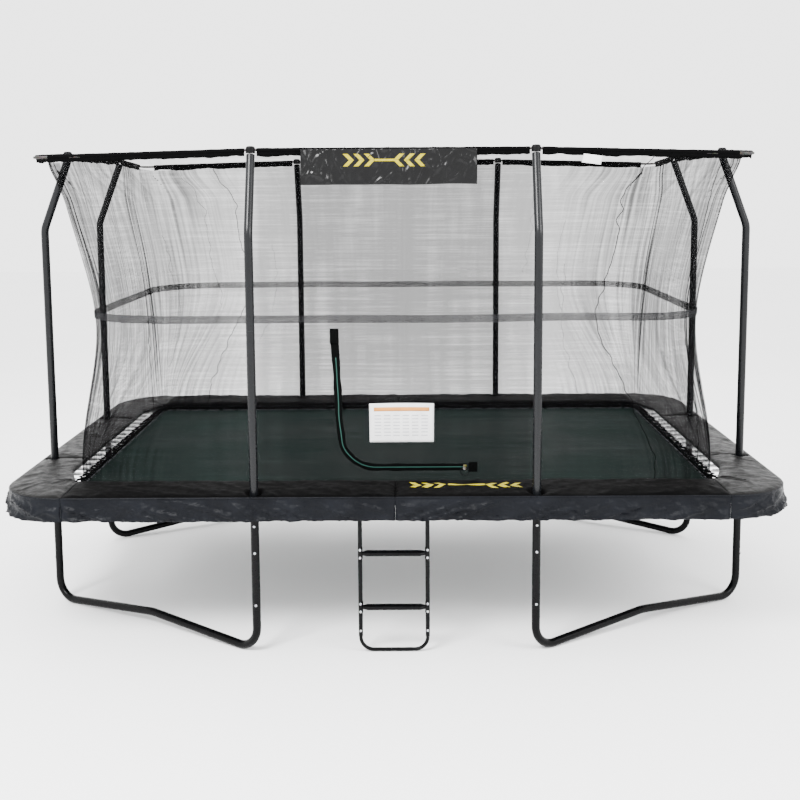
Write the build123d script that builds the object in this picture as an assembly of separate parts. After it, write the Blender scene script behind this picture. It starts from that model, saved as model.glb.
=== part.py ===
from build123d import *
import math
import os

# A rectangular garden trampoline with a safety net, in millimetres.
# X runs along the long side, Y from front to back and Z up.
# The origin is on the ground under the middle of the frame.

# Frame ring
HALF_LONG = 2235  # centre of the ring to the short rail's axis
HALF_SHORT = 1475  # centre of the ring to the long rail's axis
CORNER_R = 300
CORNER_STUB = 20
RAIL_R = 24
RAIL_Z = 915
WALL = 1.8

# Uprights: leg posts below the ring and poles above it, on the same axes
POST_R = 25
POST_OUT = 49.5  # rail axis to post axis
FRONT_POST_X = 832
SIDE_POST_Y = 645
SOCKET_R = 23
SOCKET_LOW = 700
SOCKET_HIGH = 1040
WELD_H = 34
WELD_W = 16
POST_TOP = 888
POLE_FOOT = 942
SPIGOT_R = POST_R - WALL - 0.4
SPIGOT_L = 60
SHOULDER = 4

# W-shaped leg bases
BASE_TOP = 270
BASE_BEND_R = 130
CREASE_R = 260
CREASE_RISE = 70

# Poles
POLE_JOINT = 1942
POLE_BEND = 2504
POLE_BEND_R = 160
POLE_TOP = 2952
POLE_INSET = 170
CAP_R = 27.5
CAP_TOP = 3004

# Top rail
ROD_R = 8
ROD_Z = 2981
ROD_CORNER_Z = 2944
ROD_CORNER_R = 75
ROD_CORNER_L = 240
FERRULE_R = 10.5
FERRULE_L = 50
ROD_BORE_R = 10.5

# Jumping mat
SPRING_GAP = 235  # rail axis to mat edge
MAT_TOP = 925
MAT_T = 4
BORDER_W = 50
BORDER_T = 3
RING_R = 9
RING_WIRE_R = 2

# Springs
SPRINGS_LONG = 30
SPRINGS_SHORT = 18
SPRINGS_CORNER = 3
COIL_R = 11
COIL_L = 150
COIL_WALL = 3
HOOK_R = 1.8
HOOK_FROM = 23.5  # mat edge to the hook's end
HOOK_L = 180

# Safety pads
PAD_X = 2360
PAD_Y = 1598
PAD_CORNER_R = 385
PAD_BOTTOM = 946
PAD_TOP = 976
SKIRT_T = 6
SKIRT_FOOT = 832
PAD_IN_X = 2075
PAD_IN_Y = 1236
PAD_CORNER_IN = 1975
PAD_SLOPE_Y = 950
SEAM_X = 1952
SEAM_GAP = 1
POLE_HOLE_R = 27

# Enclosure net
NET_LOW = 946
NET_HIGH = 2922
NET_T = 3
NET_LOW_X = 1950
NET_LOW_Y = 1200
NET_HIGH_X = 2094
NET_HIGH_Y = 1332
NET_GAP = 0.5

# Zip door in the front net, measured along the net's slope
ZIP_X = -338
ZIP_TOP = 930
ZIP_LOW = 104
ZIP_END = 440
ZIP_R = 330
ZIP_W = 54
ZIP_T = 1.5
ZIP_OFF = 0.5
PATCH_W = 62
SLIDER = (22, 34, 7)
SLIDER_GAP = 1.2
SLIDER_X = 425
PULL_R = 26
PULL_WIRE_R = 2.2
PULL_ARM_X = 14.5
PULL_ARM_L = 14
PULL_CUT = (18, 12)
SLIDER_ROUND = 6
CAP_LIFT = 11
CAP_ROUND = 14
ROD_BEND_R = 600
UPPER_LEG_BOLTS = (620, 783)

# Banner and placard
BANNER = (1028, 206, 5)
BANNER_X = -26
BANNER_Z = 2880
BANNER_Y = -1369
PLACARD = (396, 240, 1.2)
PLACARD_X = 38
PLACARD_H = 384

# Ladder
LADDER_X = -12
LADDER_HALF = 200
LADDER_R = 13
LADDER_RAIL_LOW = 96
LADDER_FOOT_R = 11
LADDER_FOOT_BEND = 78
LADDER_FLOOR_GAP = 2
STEP_Z = (276, 607)
STEP = (62, 34)
STEP_END = (29, 22)
STEP_WIDE_HALF = 158
SADDLE_H = 66
SADDLE_T = 2.5
STEP_BOLT = 24
LADDER_FOOT_BOLT_Z = 133
HOOK_WALL = 5
HOOK_W = 40
HOOK_LEG = 28

# Bolts
BOLT_HEAD_R = 7.5
BOLT_HEAD_H = 5

SIGNS = ((-1, -1, "front_left"), (1, -1, "front_right"),
         (-1, 1, "back_left"), (1, 1, "back_right"))
POST_X = HALF_LONG + POST_OUT
POST_Y = HALF_SHORT + POST_OUT
MAT_X = HALF_LONG - SPRING_GAP
MAT_Y = HALF_SHORT - SPRING_GAP
ARC_X = HALF_LONG - CORNER_R
ARC_Y = HALF_SHORT - CORNER_R


def save(name, *shapes):
    """Write one named piece, or one group of like pieces, to its STEP file."""
    solids = [solid for shape in shapes for solid in shape.solids()]
    whole = solids[0] if len(solids) == 1 else Compound(children=solids)
    whole.label = name
    export_step(whole, f"parts/{name}.step")


def rod(start, end, radius):
    """Return a solid round bar between two points."""
    axis = Vector(*end) - Vector(*start)
    return extrude(Plane(origin=start, z_dir=axis) * Circle(radius), amount=axis.length)


def tube(start, end, radius, wall=WALL):
    """Return a straight round tube between two points."""
    axis = Vector(*end) - Vector(*start)
    ring = Plane(origin=start, z_dir=axis) * (Circle(radius) - Circle(radius - wall))
    return extrude(ring, amount=axis.length)


def bent_rod(points, radii, radius):
    """Return a round bar along straight runs joined by arcs."""
    path = FilletPolyline(*points, radius=radii)
    return sweep(Plane(origin=path @ 0, z_dir=path % 0) * Circle(radius), path=path)


def bent_tube(points, radii, radius, wall=WALL):
    """Return a round tube along straight runs joined by arcs."""
    return bent_rod(points, radii, radius) - bent_rod(points, radii, radius - wall)


def spigot(x, y, z, up):
    """Return the stepped-down tube end that slides into the next tube."""
    foot = z - up * SHOULDER
    step = tube((x, y, foot), (x, y, z), POST_R, POST_R - SPIGOT_R + WALL)
    return step + tube((x, y, foot), (x, y, z + up * SPIGOT_L), SPIGOT_R)


def post_axes():
    """Return each upright's place and the direction that points out of the frame."""
    front = [(sx * FRONT_POST_X, sy * POST_Y, 0, sy) for sy in (-1, 1) for sx in (-1, 1)]
    side = [(sx * POST_X, sy * SIDE_POST_Y, sx, 0) for sx in (-1, 1) for sy in (-1, 1)]
    return front + side


def socket(x, y, out_x, out_y):
    """Return one upright socket with the web that welds it to the rail."""
    body = tube((x, y, SOCKET_LOW), (x, y, SOCKET_HIGH), SOCKET_R, 2)
    rail = (x - out_x * POST_OUT, y - out_y * POST_OUT, RAIL_Z)
    middle = ((x + rail[0]) / 2, (y + rail[1]) / 2, RAIL_Z)
    size = (POST_OUT if out_x else WELD_W, POST_OUT if out_y else WELD_W, WELD_H)
    web = Pos(*middle) * Box(*size)
    run = (0, 60, 0) if out_x else (60, 0, 0)
    low = tuple(a - b for a, b in zip(rail, run))
    high = tuple(a + b for a, b in zip(rail, run))
    web -= rod(low, high, RAIL_R - WALL / 2)
    web -= rod((x, y, SOCKET_LOW), (x, y, SOCKET_HIGH), SOCKET_R - 1)
    return body + web


def frame_rails():
    """Write the straight rails, each welded to its sockets."""
    axes = post_axes()
    for sy, side in ((-1, "front"), (1, "back")):
        for sx, end in ((-1, "left"), (1, "right")):
            tip = (sx * (ARC_X - CORNER_STUB), sy * HALF_SHORT, RAIL_Z)
            rail = tube((sx * 0.5, sy * HALF_SHORT, RAIL_Z), tip, RAIL_R)
            own = [a for a in axes if a[3] == sy and a[0] * sx > 0]
            save(f"frame_rail_{side}_{end}", rail + socket(*own[0]))
    for sx, end in ((-1, "left"), (1, "right")):
        reach = ARC_Y - CORNER_STUB
        rail = tube((sx * HALF_LONG, -reach, RAIL_Z), (sx * HALF_LONG, reach, RAIL_Z), RAIL_R)
        own = [a for a in axes if a[2] == sx]
        save(f"frame_rail_{end}", rail + socket(*own[0]) + socket(*own[1]))


def frame_corners():
    """Write the curved corner tubes with their stepped-down ends."""
    inner = RAIL_R - WALL - 0.4
    stub = CORNER_STUB - 0.5
    for sx, sy, name in SIGNS:
        points = [(sx * (ARC_X - stub), sy * HALF_SHORT, RAIL_Z), (sx * HALF_LONG, sy * HALF_SHORT, RAIL_Z),
                  (sx * HALF_LONG, sy * (ARC_Y - stub), RAIL_Z)]
        bend = bent_tube(points, CORNER_R, RAIL_R)
        for start, way in ((points[0], (-sx, 0)), (points[2], (0, -sy))):
            back = (start[0] - way[0] * SHOULDER, start[1] - way[1] * SHOULDER, RAIL_Z)
            tip = (start[0] + way[0] * SPIGOT_L, start[1] + way[1] * SPIGOT_L, RAIL_Z)
            bend += tube(back, start, RAIL_R, RAIL_R - inner + WALL)
            bend += tube(back, tip, inner)
        save(f"frame_corner_{name}", bend)


def leg_bases():
    """Write the four W-shaped leg bases, raised at the middle crease."""
    long_run = POST_X - FRONT_POST_X
    cross_run = POST_Y - SIDE_POST_Y
    slope = math.atan(CREASE_RISE / (math.hypot(long_run, cross_run) / 2))
    lift = BASE_BEND_R * (math.tan(slope) + 1 / math.cos(slope) - 1)
    corner_z = POST_R - lift
    for sx, sy, name in SIGNS:
        front = (sx * FRONT_POST_X, sy * POST_Y)
        side = (sx * POST_X, sy * SIDE_POST_Y)
        crease = ((front[0] + side[0]) / 2, (front[1] + side[1]) / 2, corner_z + CREASE_RISE)
        points = [(*front, BASE_TOP), (*front, corner_z), crease, (*side, corner_z), (*side, BASE_TOP)]
        base = bent_tube(points, [BASE_BEND_R, CREASE_R, BASE_BEND_R], POST_R)
        save(f"leg_base_{name}", base + spigot(*front, BASE_TOP, 1) + spigot(*side, BASE_TOP, 1))


def leg_posts():
    """Write the two straight posts of each leg."""
    for sx, sy, name in SIGNS:
        places = ((sx * FRONT_POST_X, sy * POST_Y), (sx * POST_X, sy * SIDE_POST_Y))
        save(f"leg_posts_{name}", *[tube((x, y, BASE_TOP + 0.5), (x, y, POST_TOP), POST_R) for x, y in places])


def poles():
    """Write the lower poles, the bent upper poles and their caps."""
    caps = []
    groups = {"front": [], "back": [], "left": [], "right": []}
    for x, y, out_x, out_y in post_axes():
        side = {(0, -1): "front", (0, 1): "back", (-1, 0): "left", (1, 0): "right"}[(out_x, out_y)]
        top = (x - out_x * POLE_INSET, y - out_y * POLE_INSET)
        lower = tube((x, y, POLE_FOOT), (x, y, POLE_JOINT - 0.5), POST_R)
        upper = bent_tube([(x, y, POLE_JOINT), (x, y, POLE_BEND), (*top, POLE_TOP)], POLE_BEND_R, POST_R)
        upper += spigot(x, y, POLE_JOINT, -1)
        groups[side].append((lower, upper))
        caps.append(pole_cap(top, out_x))
    for side, pairs in groups.items():
        save(f"lower_poles_{side}", *[pair[0] for pair in pairs])
        save(f"upper_poles_{side}", *[pair[1] for pair in pairs])
    save("pole_caps", *caps)


def pole_cap(top, out_x):
    """Return a domed cap, bored for the top rod."""
    low = POLE_TOP + CAP_LIFT
    cap = Pos(top[0], top[1], (low + CAP_TOP) / 2) * Cylinder(CAP_R, CAP_TOP - low)
    cap = fillet(cap.edges().sort_by(Axis.Z)[-1], CAP_ROUND)
    reach = (0, 40) if out_x else (40, 0)
    start = (top[0] - reach[0], top[1] - reach[1], ROD_Z)
    end = (top[0] + reach[0], top[1] + reach[1], ROD_Z)
    return cap - rod(start, end, ROD_BORE_R)


def rod_height(gap, span):
    """Return the rod's height at a distance from the corner, sagging towards it."""
    return ROD_CORNER_Z + (ROD_Z - ROD_CORNER_Z) * gap / span


def top_rail():
    """Write the four rods through the pole caps and the four bent corner rods."""
    corner_x = POST_X - POLE_INSET
    corner_y = POST_Y - POLE_INSET
    long_z = rod_height(ROD_CORNER_L, corner_x - FRONT_POST_X)
    short_z = rod_height(ROD_CORNER_L, corner_y - SIDE_POST_Y)
    for sy, side in ((-1, "front"), (1, "back")):
        y = sy * corner_y
        points = [(-corner_x + ROD_CORNER_L, y, long_z), (-FRONT_POST_X, y, ROD_Z),
                  (FRONT_POST_X, y, ROD_Z), (corner_x - ROD_CORNER_L, y, long_z)]
        save(f"top_rod_{side}", bent_rod(points, ROD_BEND_R, ROD_R))
    for sx, side in ((-1, "left"), (1, "right")):
        x = sx * corner_x
        points = [(x, -corner_y + ROD_CORNER_L, short_z), (x, -SIDE_POST_Y, ROD_Z),
                  (x, SIDE_POST_Y, ROD_Z), (x, corner_y - ROD_CORNER_L, short_z)]
        save(f"top_rod_{side}", bent_rod(points, ROD_BEND_R, ROD_R))
    corners = []
    for sx, sy, _ in SIGNS:
        tip = (sx * corner_x, sy * corner_y, ROD_CORNER_Z)
        on_long = (sx * (corner_x - ROD_CORNER_L), sy * corner_y, long_z)
        on_short = (sx * corner_x, sy * (corner_y - ROD_CORNER_L), short_z)
        bend = bent_rod([ferrule_start(on_long, tip), tip, ferrule_start(on_short, tip)], ROD_CORNER_R, ROD_R)
        corners.append(bend + ferrule(on_long, tip) + ferrule(on_short, tip))
    save("top_rod_corners", *corners)


def ferrule_start(end, tip):
    """Return the point just short of a straight rod's end, towards the corner."""
    way = (Vector(*tip) - Vector(*end)).normalized()
    return tuple(Vector(*end) + way)


def ferrule(end, tip):
    """Return the sleeve that joins a corner rod to a straight rod."""
    way = (Vector(*tip) - Vector(*end)).normalized()
    near = Vector(*end) + way
    sleeve = rod(tuple(near + way * 12), tuple(near - way * FERRULE_L), FERRULE_R)
    return sleeve - rod(tuple(near), tuple(near - way * (FERRULE_L + 1)), ROD_R + 0.5)


def plate(half_x, half_y, radius, top, thick):
    """Return a flat rectangular plate with round corners."""
    outline = RectangleRounded(2 * half_x, 2 * half_y, radius)
    return extrude(Pos(0, 0, top - thick) * outline, amount=thick)


def mat():
    """Write the jumping mat, its webbing border and the rings on its edge."""
    corner = CORNER_R - SPRING_GAP
    save("jump_mat", plate(MAT_X, MAT_Y, corner, MAT_TOP, MAT_T))
    border = plate(MAT_X, MAT_Y, corner, MAT_TOP - MAT_T, BORDER_T)
    inside = plate(MAT_X - BORDER_W, MAT_Y - BORDER_W, corner / 2, MAT_TOP - MAT_T, BORDER_T)
    save("mat_border", border - inside)
    ring = Torus(RING_R, RING_WIRE_R)
    out = RING_R + RING_WIRE_R + 0.5
    save("mat_rings", *[place * Pos(out, 0, 0) * ring for place in spring_places()])


def spring_places():
    """Return a location at the mat edge for each spring, with X pointing to the rail."""
    z = MAT_TOP - MAT_T / 2
    places = []
    long_step = 2 * ARC_X / SPRINGS_LONG
    short_step = 2 * ARC_Y / SPRINGS_SHORT
    for sign in (-1, 1):
        for i in range(SPRINGS_LONG):
            places.append(Pos(-ARC_X + (i + 0.5) * long_step, sign * MAT_Y, z) * Rot(0, 0, 90 * sign))
        for i in range(SPRINGS_SHORT):
            places.append(Pos(sign * MAT_X, -ARC_Y + (i + 0.5) * short_step, z) * Rot(0, 0, 90 - 90 * sign))
    for sx, sy, _ in SIGNS:
        middle = math.degrees(math.atan2(sy, sx))
        for i in range(SPRINGS_CORNER):
            turn = middle + (i - (SPRINGS_CORNER - 1) / 2) * 90 / SPRINGS_CORNER
            places.append(Pos(sx * ARC_X, sy * ARC_Y, z) * Rot(0, 0, turn) * Pos(CORNER_R - SPRING_GAP, 0, 0))
    return places


def springs():
    """Write the coil springs as one group, each a hollow slotted coil envelope with two straight hooks."""
    hook = Pos(HOOK_FROM + HOOK_L / 2, 0, 0) * Rot(0, 90, 0) * Cylinder(HOOK_R, HOOK_L)
    middle = Pos(HOOK_FROM + HOOK_L / 2, 0, 0)
    coil = middle * Rot(0, 90, 0) * (Cylinder(COIL_R, COIL_L) - Cylinder(COIL_R - COIL_WALL, COIL_L - 8))
    coil -= middle * Pos(0, 0, -COIL_R) * Box(COIL_L - 8, 2, COIL_R)
    spring = coil + hook
    save("springs", *[place * spring for place in spring_places()])


def box_between(start, end):
    """Return a box between two opposite corner points."""
    size = [abs(b - a) for a, b in zip(start, end)]
    return Pos(*[(a + b) / 2 for a, b in zip(start, end)]) * Box(*size)


def pad_ring():
    """Return the whole pad ring: a flat foam top and a skirt hanging from its outer edge."""
    top = plate(PAD_X, PAD_Y, PAD_CORNER_R, PAD_TOP, PAD_TOP - PAD_BOTTOM)
    inside = Polygon(*pad_inner_outline(), align=None)
    top -= extrude(Pos(0, 0, PAD_BOTTOM) * inside, amount=PAD_TOP - PAD_BOTTOM)
    skirt = plate(PAD_X, PAD_Y, PAD_CORNER_R, PAD_BOTTOM, PAD_BOTTOM - SKIRT_FOOT)
    skirt -= plate(PAD_X - SKIRT_T, PAD_Y - SKIRT_T, PAD_CORNER_R - SKIRT_T, PAD_BOTTOM, PAD_BOTTOM - SKIRT_FOOT)
    ring = top + skirt
    for x, y, _, _ in post_axes():
        ring -= rod((x, y, SKIRT_FOOT), (x, y, PAD_TOP), POLE_HOLE_R)
    return ring


def pad_inner_outline():
    """Return the pad ring's inner outline, which narrows at the corners."""
    quarter = [(PAD_IN_X, PAD_SLOPE_Y), (PAD_CORNER_IN, PAD_IN_Y)]
    half = quarter + [(-x, y) for x, y in reversed(quarter)]
    return half + [(x, -y) for x, y in reversed(half)]


def pads():
    """Cut the pad ring at its seams and write the ten pads."""
    ring = pad_ring()
    gap = SEAM_GAP / 2
    low_z = SKIRT_FOOT - 1
    high_z = PAD_TOP + 1
    far_x = PAD_X + 1
    far_y = PAD_Y + 1
    for sx, sy, name in SIGNS:
        long_cut = box_between((gap * sx, 0, low_z), ((SEAM_X - gap) * sx, far_y * sy, high_z))
        save(f"pad_{name}", ring & long_cut)
        corner_cut = box_between(((SEAM_X + gap) * sx, (SIDE_POST_Y + gap) * sy, low_z),
                                 (far_x * sx, far_y * sy, high_z))
        save(f"pad_corner_{name}", ring & corner_cut)
    for sx, name in ((-1, "left"), (1, "right")):
        side_cut = box_between((SEAM_X * sx, gap - SIDE_POST_Y, low_z), (far_x * sx, SIDE_POST_Y - gap, high_z))
        save(f"pad_{name}", ring & side_cut)


def net_panel(out_x, out_y):
    """Return one flat net panel, mitred at both sides."""
    levels = ((NET_LOW, NET_LOW_X, NET_LOW_Y), (NET_HIGH, NET_HIGH_X, NET_HIGH_Y))
    faces = []
    for z, half_x, half_y in levels:
        along, out = (half_x, half_y) if out_y else (half_y, half_x)
        sign = out_y or out_x
        corners = [(-along + NET_GAP, out), (along - NET_GAP, out),
                   (along + NET_T - NET_GAP, out + NET_T), (-along - NET_T + NET_GAP, out + NET_T)]
        placed = [(a, sign * o) if out_y else (sign * o, a) for a, o in corners]
        faces.append(make_face(Polyline(*[(x, y, z) for x, y in placed], close=True)))
    return loft(faces, ruled=True)


def net():
    """Write the four net panels."""
    for out_x, out_y, side in ((0, -1, "front"), (0, 1, "back"), (-1, 0, "left"), (1, 0, "right")):
        save(f"net_{side}", net_panel(out_x, out_y))


def front_net_plane(off):
    """Return the front net's outer plane, moved out by a distance, with Y up the slope."""
    rise = NET_HIGH - NET_LOW
    run = NET_HIGH_Y - NET_LOW_Y
    slope = math.hypot(rise, run)
    normal = (0, -rise / slope, -run / slope)
    origin = (0, -NET_LOW_Y - NET_T + normal[1] * off, NET_LOW + normal[2] * off)
    return Plane(origin=origin, x_dir=(1, 0, 0), z_dir=normal)


def zip_door():
    """Write the zip tape with its end patch, the slider and the pull loop."""
    half = ZIP_W / 2
    outline = Polyline((ZIP_X - half, ZIP_TOP), (ZIP_X - half, ZIP_LOW - half), (ZIP_END, ZIP_LOW - half),
                       (ZIP_END, ZIP_LOW + half), (ZIP_X + half, ZIP_LOW + half), (ZIP_X + half, ZIP_TOP),
                       close=True)
    shape = make_face(outline)
    inner = shape.vertices().sort_by_distance((ZIP_X + half, ZIP_LOW + half))[0]
    shape = fillet(inner, ZIP_R - half)
    outer = shape.vertices().sort_by_distance((ZIP_X - half, ZIP_LOW - half))[0]
    shape = fillet(outer, ZIP_R + half)
    shape += Pos(ZIP_END + PATCH_W / 2, ZIP_LOW) * Rectangle(PATCH_W, PATCH_W)
    save("zip_tape", extrude(front_net_plane(ZIP_OFF) * shape, amount=ZIP_T))
    raised = ZIP_OFF + ZIP_T + SLIDER_GAP
    spot = Pos(SLIDER_X, ZIP_LOW)
    body = extrude(spot * RectangleRounded(SLIDER[0], SLIDER[1], SLIDER_ROUND), amount=SLIDER[2])
    body -= Pos(SLIDER_X, ZIP_LOW, SLIDER[2] / 2) * Rot(0, 90, 0) * Cylinder(PULL_WIRE_R + 0.5, 40)
    save("zip_slider", front_net_plane(raised).location * body)
    middle = Pos(SLIDER_X, ZIP_LOW, SLIDER[2] / 2)
    loop = middle * Pos(0, -PULL_R, 0) * Torus(PULL_R, PULL_WIRE_R)
    loop -= middle * Box(2 * PULL_ARM_X, *PULL_CUT)
    loop += middle * Rot(0, 90, 0) * Cylinder(PULL_WIRE_R, 2 * PULL_ARM_X)
    for sign in (-1, 1):
        loop += middle * Pos(sign * PULL_ARM_X, -5, 0) * Rot(90, 0, 0) * Cylinder(PULL_WIRE_R, PULL_ARM_L)
    save("zip_pull", front_net_plane(raised).location * loop)


def banner_and_placard():
    """Write the sheet banner under the front top rod and the placard on the net."""
    save("banner", Pos(BANNER_X, BANNER_Y, BANNER_Z) * Box(BANNER[0], BANNER[2], BANNER[1]))
    card = Pos(PLACARD_X, PLACARD_H) * Rectangle(PLACARD[0], PLACARD[1])
    save("placard", extrude(front_net_plane(ZIP_OFF) * card, amount=PLACARD[2]))


def ladder_hook(x):
    """Return the flat hook that holds a ladder rail's top over the frame rail."""
    outer = RAIL_R + 0.6 + HOOK_WALL
    ring = Circle(outer) - Circle(RAIL_R + 0.6)
    ring -= Pos(0, -outer) * Rectangle(4 * outer, 2 * outer)
    leg = Pos(RAIL_R + 0.6 + HOOK_WALL / 2, -HOOK_LEG / 2) * Rectangle(HOOK_WALL, HOOK_LEG)
    profile = Plane(origin=(x + HOOK_W / 2, -HALF_SHORT, RAIL_Z), x_dir=(0, -1, 0), z_dir=(-1, 0, 0))
    return extrude(profile * (ring + leg), amount=HOOK_W)


def ladder_y():
    """Return the Y of the ladder's tubes, just outside the hooks."""
    return -HALF_SHORT - RAIL_R - 0.6 - HOOK_WALL - LADDER_R + 1


def ladder():
    """Write the ladder: rails with hooks, steps, foot tube and bolts."""
    y = ladder_y()
    rails, steps, heads = [], [], []
    foot_z = LADDER_FOOT_R + LADDER_FLOOR_GAP
    for sign in (-1, 1):
        x = LADDER_X + sign * LADDER_HALF
        rail = tube((x, y, LADDER_RAIL_LOW), (x, y, RAIL_Z), LADDER_R, 1.5)
        rails.append(rail + ladder_hook(x) - rod((x, y, 0), (x, y, RAIL_Z), LADDER_R - 1.5))
        for z in STEP_Z:
            heads += [bolt_head(x, y - LADDER_R - SADDLE_T, z + up * STEP_BOLT) for up in (-1, 1)]
        heads.append(bolt_head(x, y - LADDER_R, LADDER_FOOT_BOLT_Z))
    for z in STEP_Z:
        steps.append(ladder_step(y, z))
    high = LADDER_RAIL_LOW + 80
    corners = [(LADDER_X - LADDER_HALF, y, high), (LADDER_X - LADDER_HALF, y, foot_z),
               (LADDER_X + LADDER_HALF, y, foot_z), (LADDER_X + LADDER_HALF, y, high)]
    save("ladder_rails", *rails)
    save("ladder_steps", *steps)
    save("ladder_foot", bent_tube(corners, LADDER_FOOT_BEND, LADDER_FOOT_R, 1.4))
    save("ladder_bolts", *heads)


def oval_bar(y, z, less):
    """Return the step's oval bar, slimmer by the given amount, with pinched ends."""
    reach = LADDER_HALF - LADDER_R
    stations = ((-reach, STEP_END), (-STEP_WIDE_HALF, STEP), (STEP_WIDE_HALF, STEP), (reach, STEP_END))
    sections = [Plane(origin=(LADDER_X + at, y, z), x_dir=(0, 1, 0), z_dir=(1, 0, 0))
                * Ellipse(size[0] / 2 - less, size[1] / 2 - less) for at, size in stations]
    return loft(sections, ruled=True)


def ladder_step(y, z):
    """Return one hollow oval step with the saddles that hold it to the rails."""
    step = oval_bar(y, z, 0)
    half = SADDLE_H / 2
    for sign in (-1, 1):
        x = LADDER_X + sign * LADDER_HALF
        saddle = rod((x, y, z - half), (x, y, z + half), LADDER_R + SADDLE_T)
        step += saddle - box_between((x, y - STEP[0], z - half), (x + sign * 50, y + STEP[0], z + half))
    step -= oval_bar(y, z, 1.5)
    for sign in (-1, 1):
        x = LADDER_X + sign * LADDER_HALF
        step -= rod((x, y, z - SADDLE_H), (x, y, z + SADDLE_H), LADDER_R + 0.5)
    return step


def bolt_head(x, y, z, way=(0, -1, 0)):
    """Return a round bolt head that stands on a tube's surface."""
    start = Vector(x, y, z) + Vector(*way) * 0.3
    head = rod(tuple(start), tuple(start + Vector(*way) * BOLT_HEAD_H), BOLT_HEAD_R)
    return chamfer(head.faces().sort_by(Axis(start, way))[-1].edges(), 1.5)


def frame_bolts():
    """Write the bolt heads on the leg posts and on the pole joints."""
    heads = []
    for x, y, out_x, out_y in post_axes():
        surface = (x + out_x * POST_R, y + out_y * POST_R)
        for z in (BASE_TOP + 30, *UPPER_LEG_BOLTS):
            heads.append(bolt_head(*surface, z, (out_x, out_y, 0)))
    save("leg_bolts", *heads)


def main():
    os.makedirs("parts", exist_ok=True)
    frame_rails()
    frame_corners()
    leg_bases()
    leg_posts()
    poles()
    top_rail()
    mat()
    springs()
    pads()
    net()
    zip_door()
    banner_and_placard()
    ladder()
    frame_bolts()


main()
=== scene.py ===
import math
import random

import bpy
import numpy as np
from mathutils import Matrix, Vector, noise


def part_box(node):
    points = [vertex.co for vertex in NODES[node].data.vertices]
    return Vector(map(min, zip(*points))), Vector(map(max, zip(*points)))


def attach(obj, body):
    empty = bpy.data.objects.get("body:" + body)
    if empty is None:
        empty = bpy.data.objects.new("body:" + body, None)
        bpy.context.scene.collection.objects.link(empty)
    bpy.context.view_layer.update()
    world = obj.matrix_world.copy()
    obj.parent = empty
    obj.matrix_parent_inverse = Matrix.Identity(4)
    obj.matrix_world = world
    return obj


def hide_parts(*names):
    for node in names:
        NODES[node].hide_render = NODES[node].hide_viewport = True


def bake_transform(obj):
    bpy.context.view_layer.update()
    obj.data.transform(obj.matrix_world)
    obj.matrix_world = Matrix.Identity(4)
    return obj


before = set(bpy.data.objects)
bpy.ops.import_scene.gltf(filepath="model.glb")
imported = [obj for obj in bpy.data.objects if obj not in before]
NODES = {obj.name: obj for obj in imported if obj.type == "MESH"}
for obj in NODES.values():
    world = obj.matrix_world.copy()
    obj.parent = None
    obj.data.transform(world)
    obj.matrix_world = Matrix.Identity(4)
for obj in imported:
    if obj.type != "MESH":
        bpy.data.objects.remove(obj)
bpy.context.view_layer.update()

# Corners of the CAD nodes' boxes, in metres
MAT_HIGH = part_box("jump_mat")[1]
NET_LOW_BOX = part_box("net_front")[0]
SIDE_NET_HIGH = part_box("net_right")[1]
FRONT_PAD_LOW, FRONT_PAD_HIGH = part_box("pad_front_right")
SIDE_PAD_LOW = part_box("pad_right")[0]
CORNER_PAD_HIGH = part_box("pad_corner_front_right")[1]
FRONT_ROD_LOW, FRONT_ROD_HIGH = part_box("top_rod_front")
SIDE_ROD_LOW, SIDE_ROD_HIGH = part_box("top_rod_right")
BANNER_LOW, BANNER_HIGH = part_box("banner")
CARD_LOW, CARD_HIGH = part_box("placard")
ZIP_LOW_BOX, ZIP_HIGH_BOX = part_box("zip_tape")
POLE_LOW, POLE_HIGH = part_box("lower_poles_front")
SIDE_POLE_LOW, SIDE_POLE_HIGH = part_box("lower_poles_right")

POLE_R = (POLE_HIGH.y - POLE_LOW.y) / 2
FRONT_POLE = Vector((POLE_HIGH.x - POLE_R, (POLE_LOW.y + POLE_HIGH.y) / 2, 0))
SIDE_POLE = Vector(((SIDE_POLE_LOW.x + SIDE_POLE_HIGH.x) / 2, SIDE_POLE_HIGH.y - POLE_R, 0))
MAT_X, MAT_Y, MAT_Z = MAT_HIGH.x, MAT_HIGH.y, MAT_HIGH.z
MAT_CORNER = 0.065
SPRING_ROOM = 0.235
RAIL_X = MAT_X + SPRING_ROOM
RAIL_Y = MAT_Y + SPRING_ROOM
RAIL_Z = 0.915
RAIL_R = 0.024
ROD_R = 0.008
ROD_Y = -(FRONT_ROD_LOW.y + FRONT_ROD_HIGH.y) / 2
ROD_X = (SIDE_ROD_LOW.x + SIDE_ROD_HIGH.x) / 2
ROD_TOP_Z = FRONT_ROD_HIGH.z - ROD_R
ROD_CORNER_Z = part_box("top_rod_corners")[0].z + ROD_R
SIGNS = ((-1, -1, "front_left"), (1, -1, "front_right"), (-1, 1, "back_left"), (1, 1, "back_right"))


# ---------------------------------------------------------------- camera, light and floor

def make_camera():
    """The photograph's viewpoint: in front, a little above the net's middle, looking slightly down."""
    data = bpy.data.cameras.new("camera")
    data.sensor_width = 36
    data.lens = 49.4
    data.shift_x = -0.005
    data.shift_y = -0.10
    camera = bpy.data.objects.new("camera", data)
    bpy.context.scene.collection.objects.link(camera)
    yaw, pitch, roll = 0.0035, -0.1181, 0.0062
    turn = Matrix.Rotation(yaw, 3, "Z") @ Matrix.Rotation(pitch, 3, "X") @ Matrix.Rotation(roll, 3, "Y")
    right, ahead, up = turn.col
    basis = Matrix((right, up, -ahead)).transposed().to_4x4()
    camera.matrix_world = Matrix.Translation((0.0792, -7.8171, 2.7459)) @ basis
    bpy.context.scene.camera = camera


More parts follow.
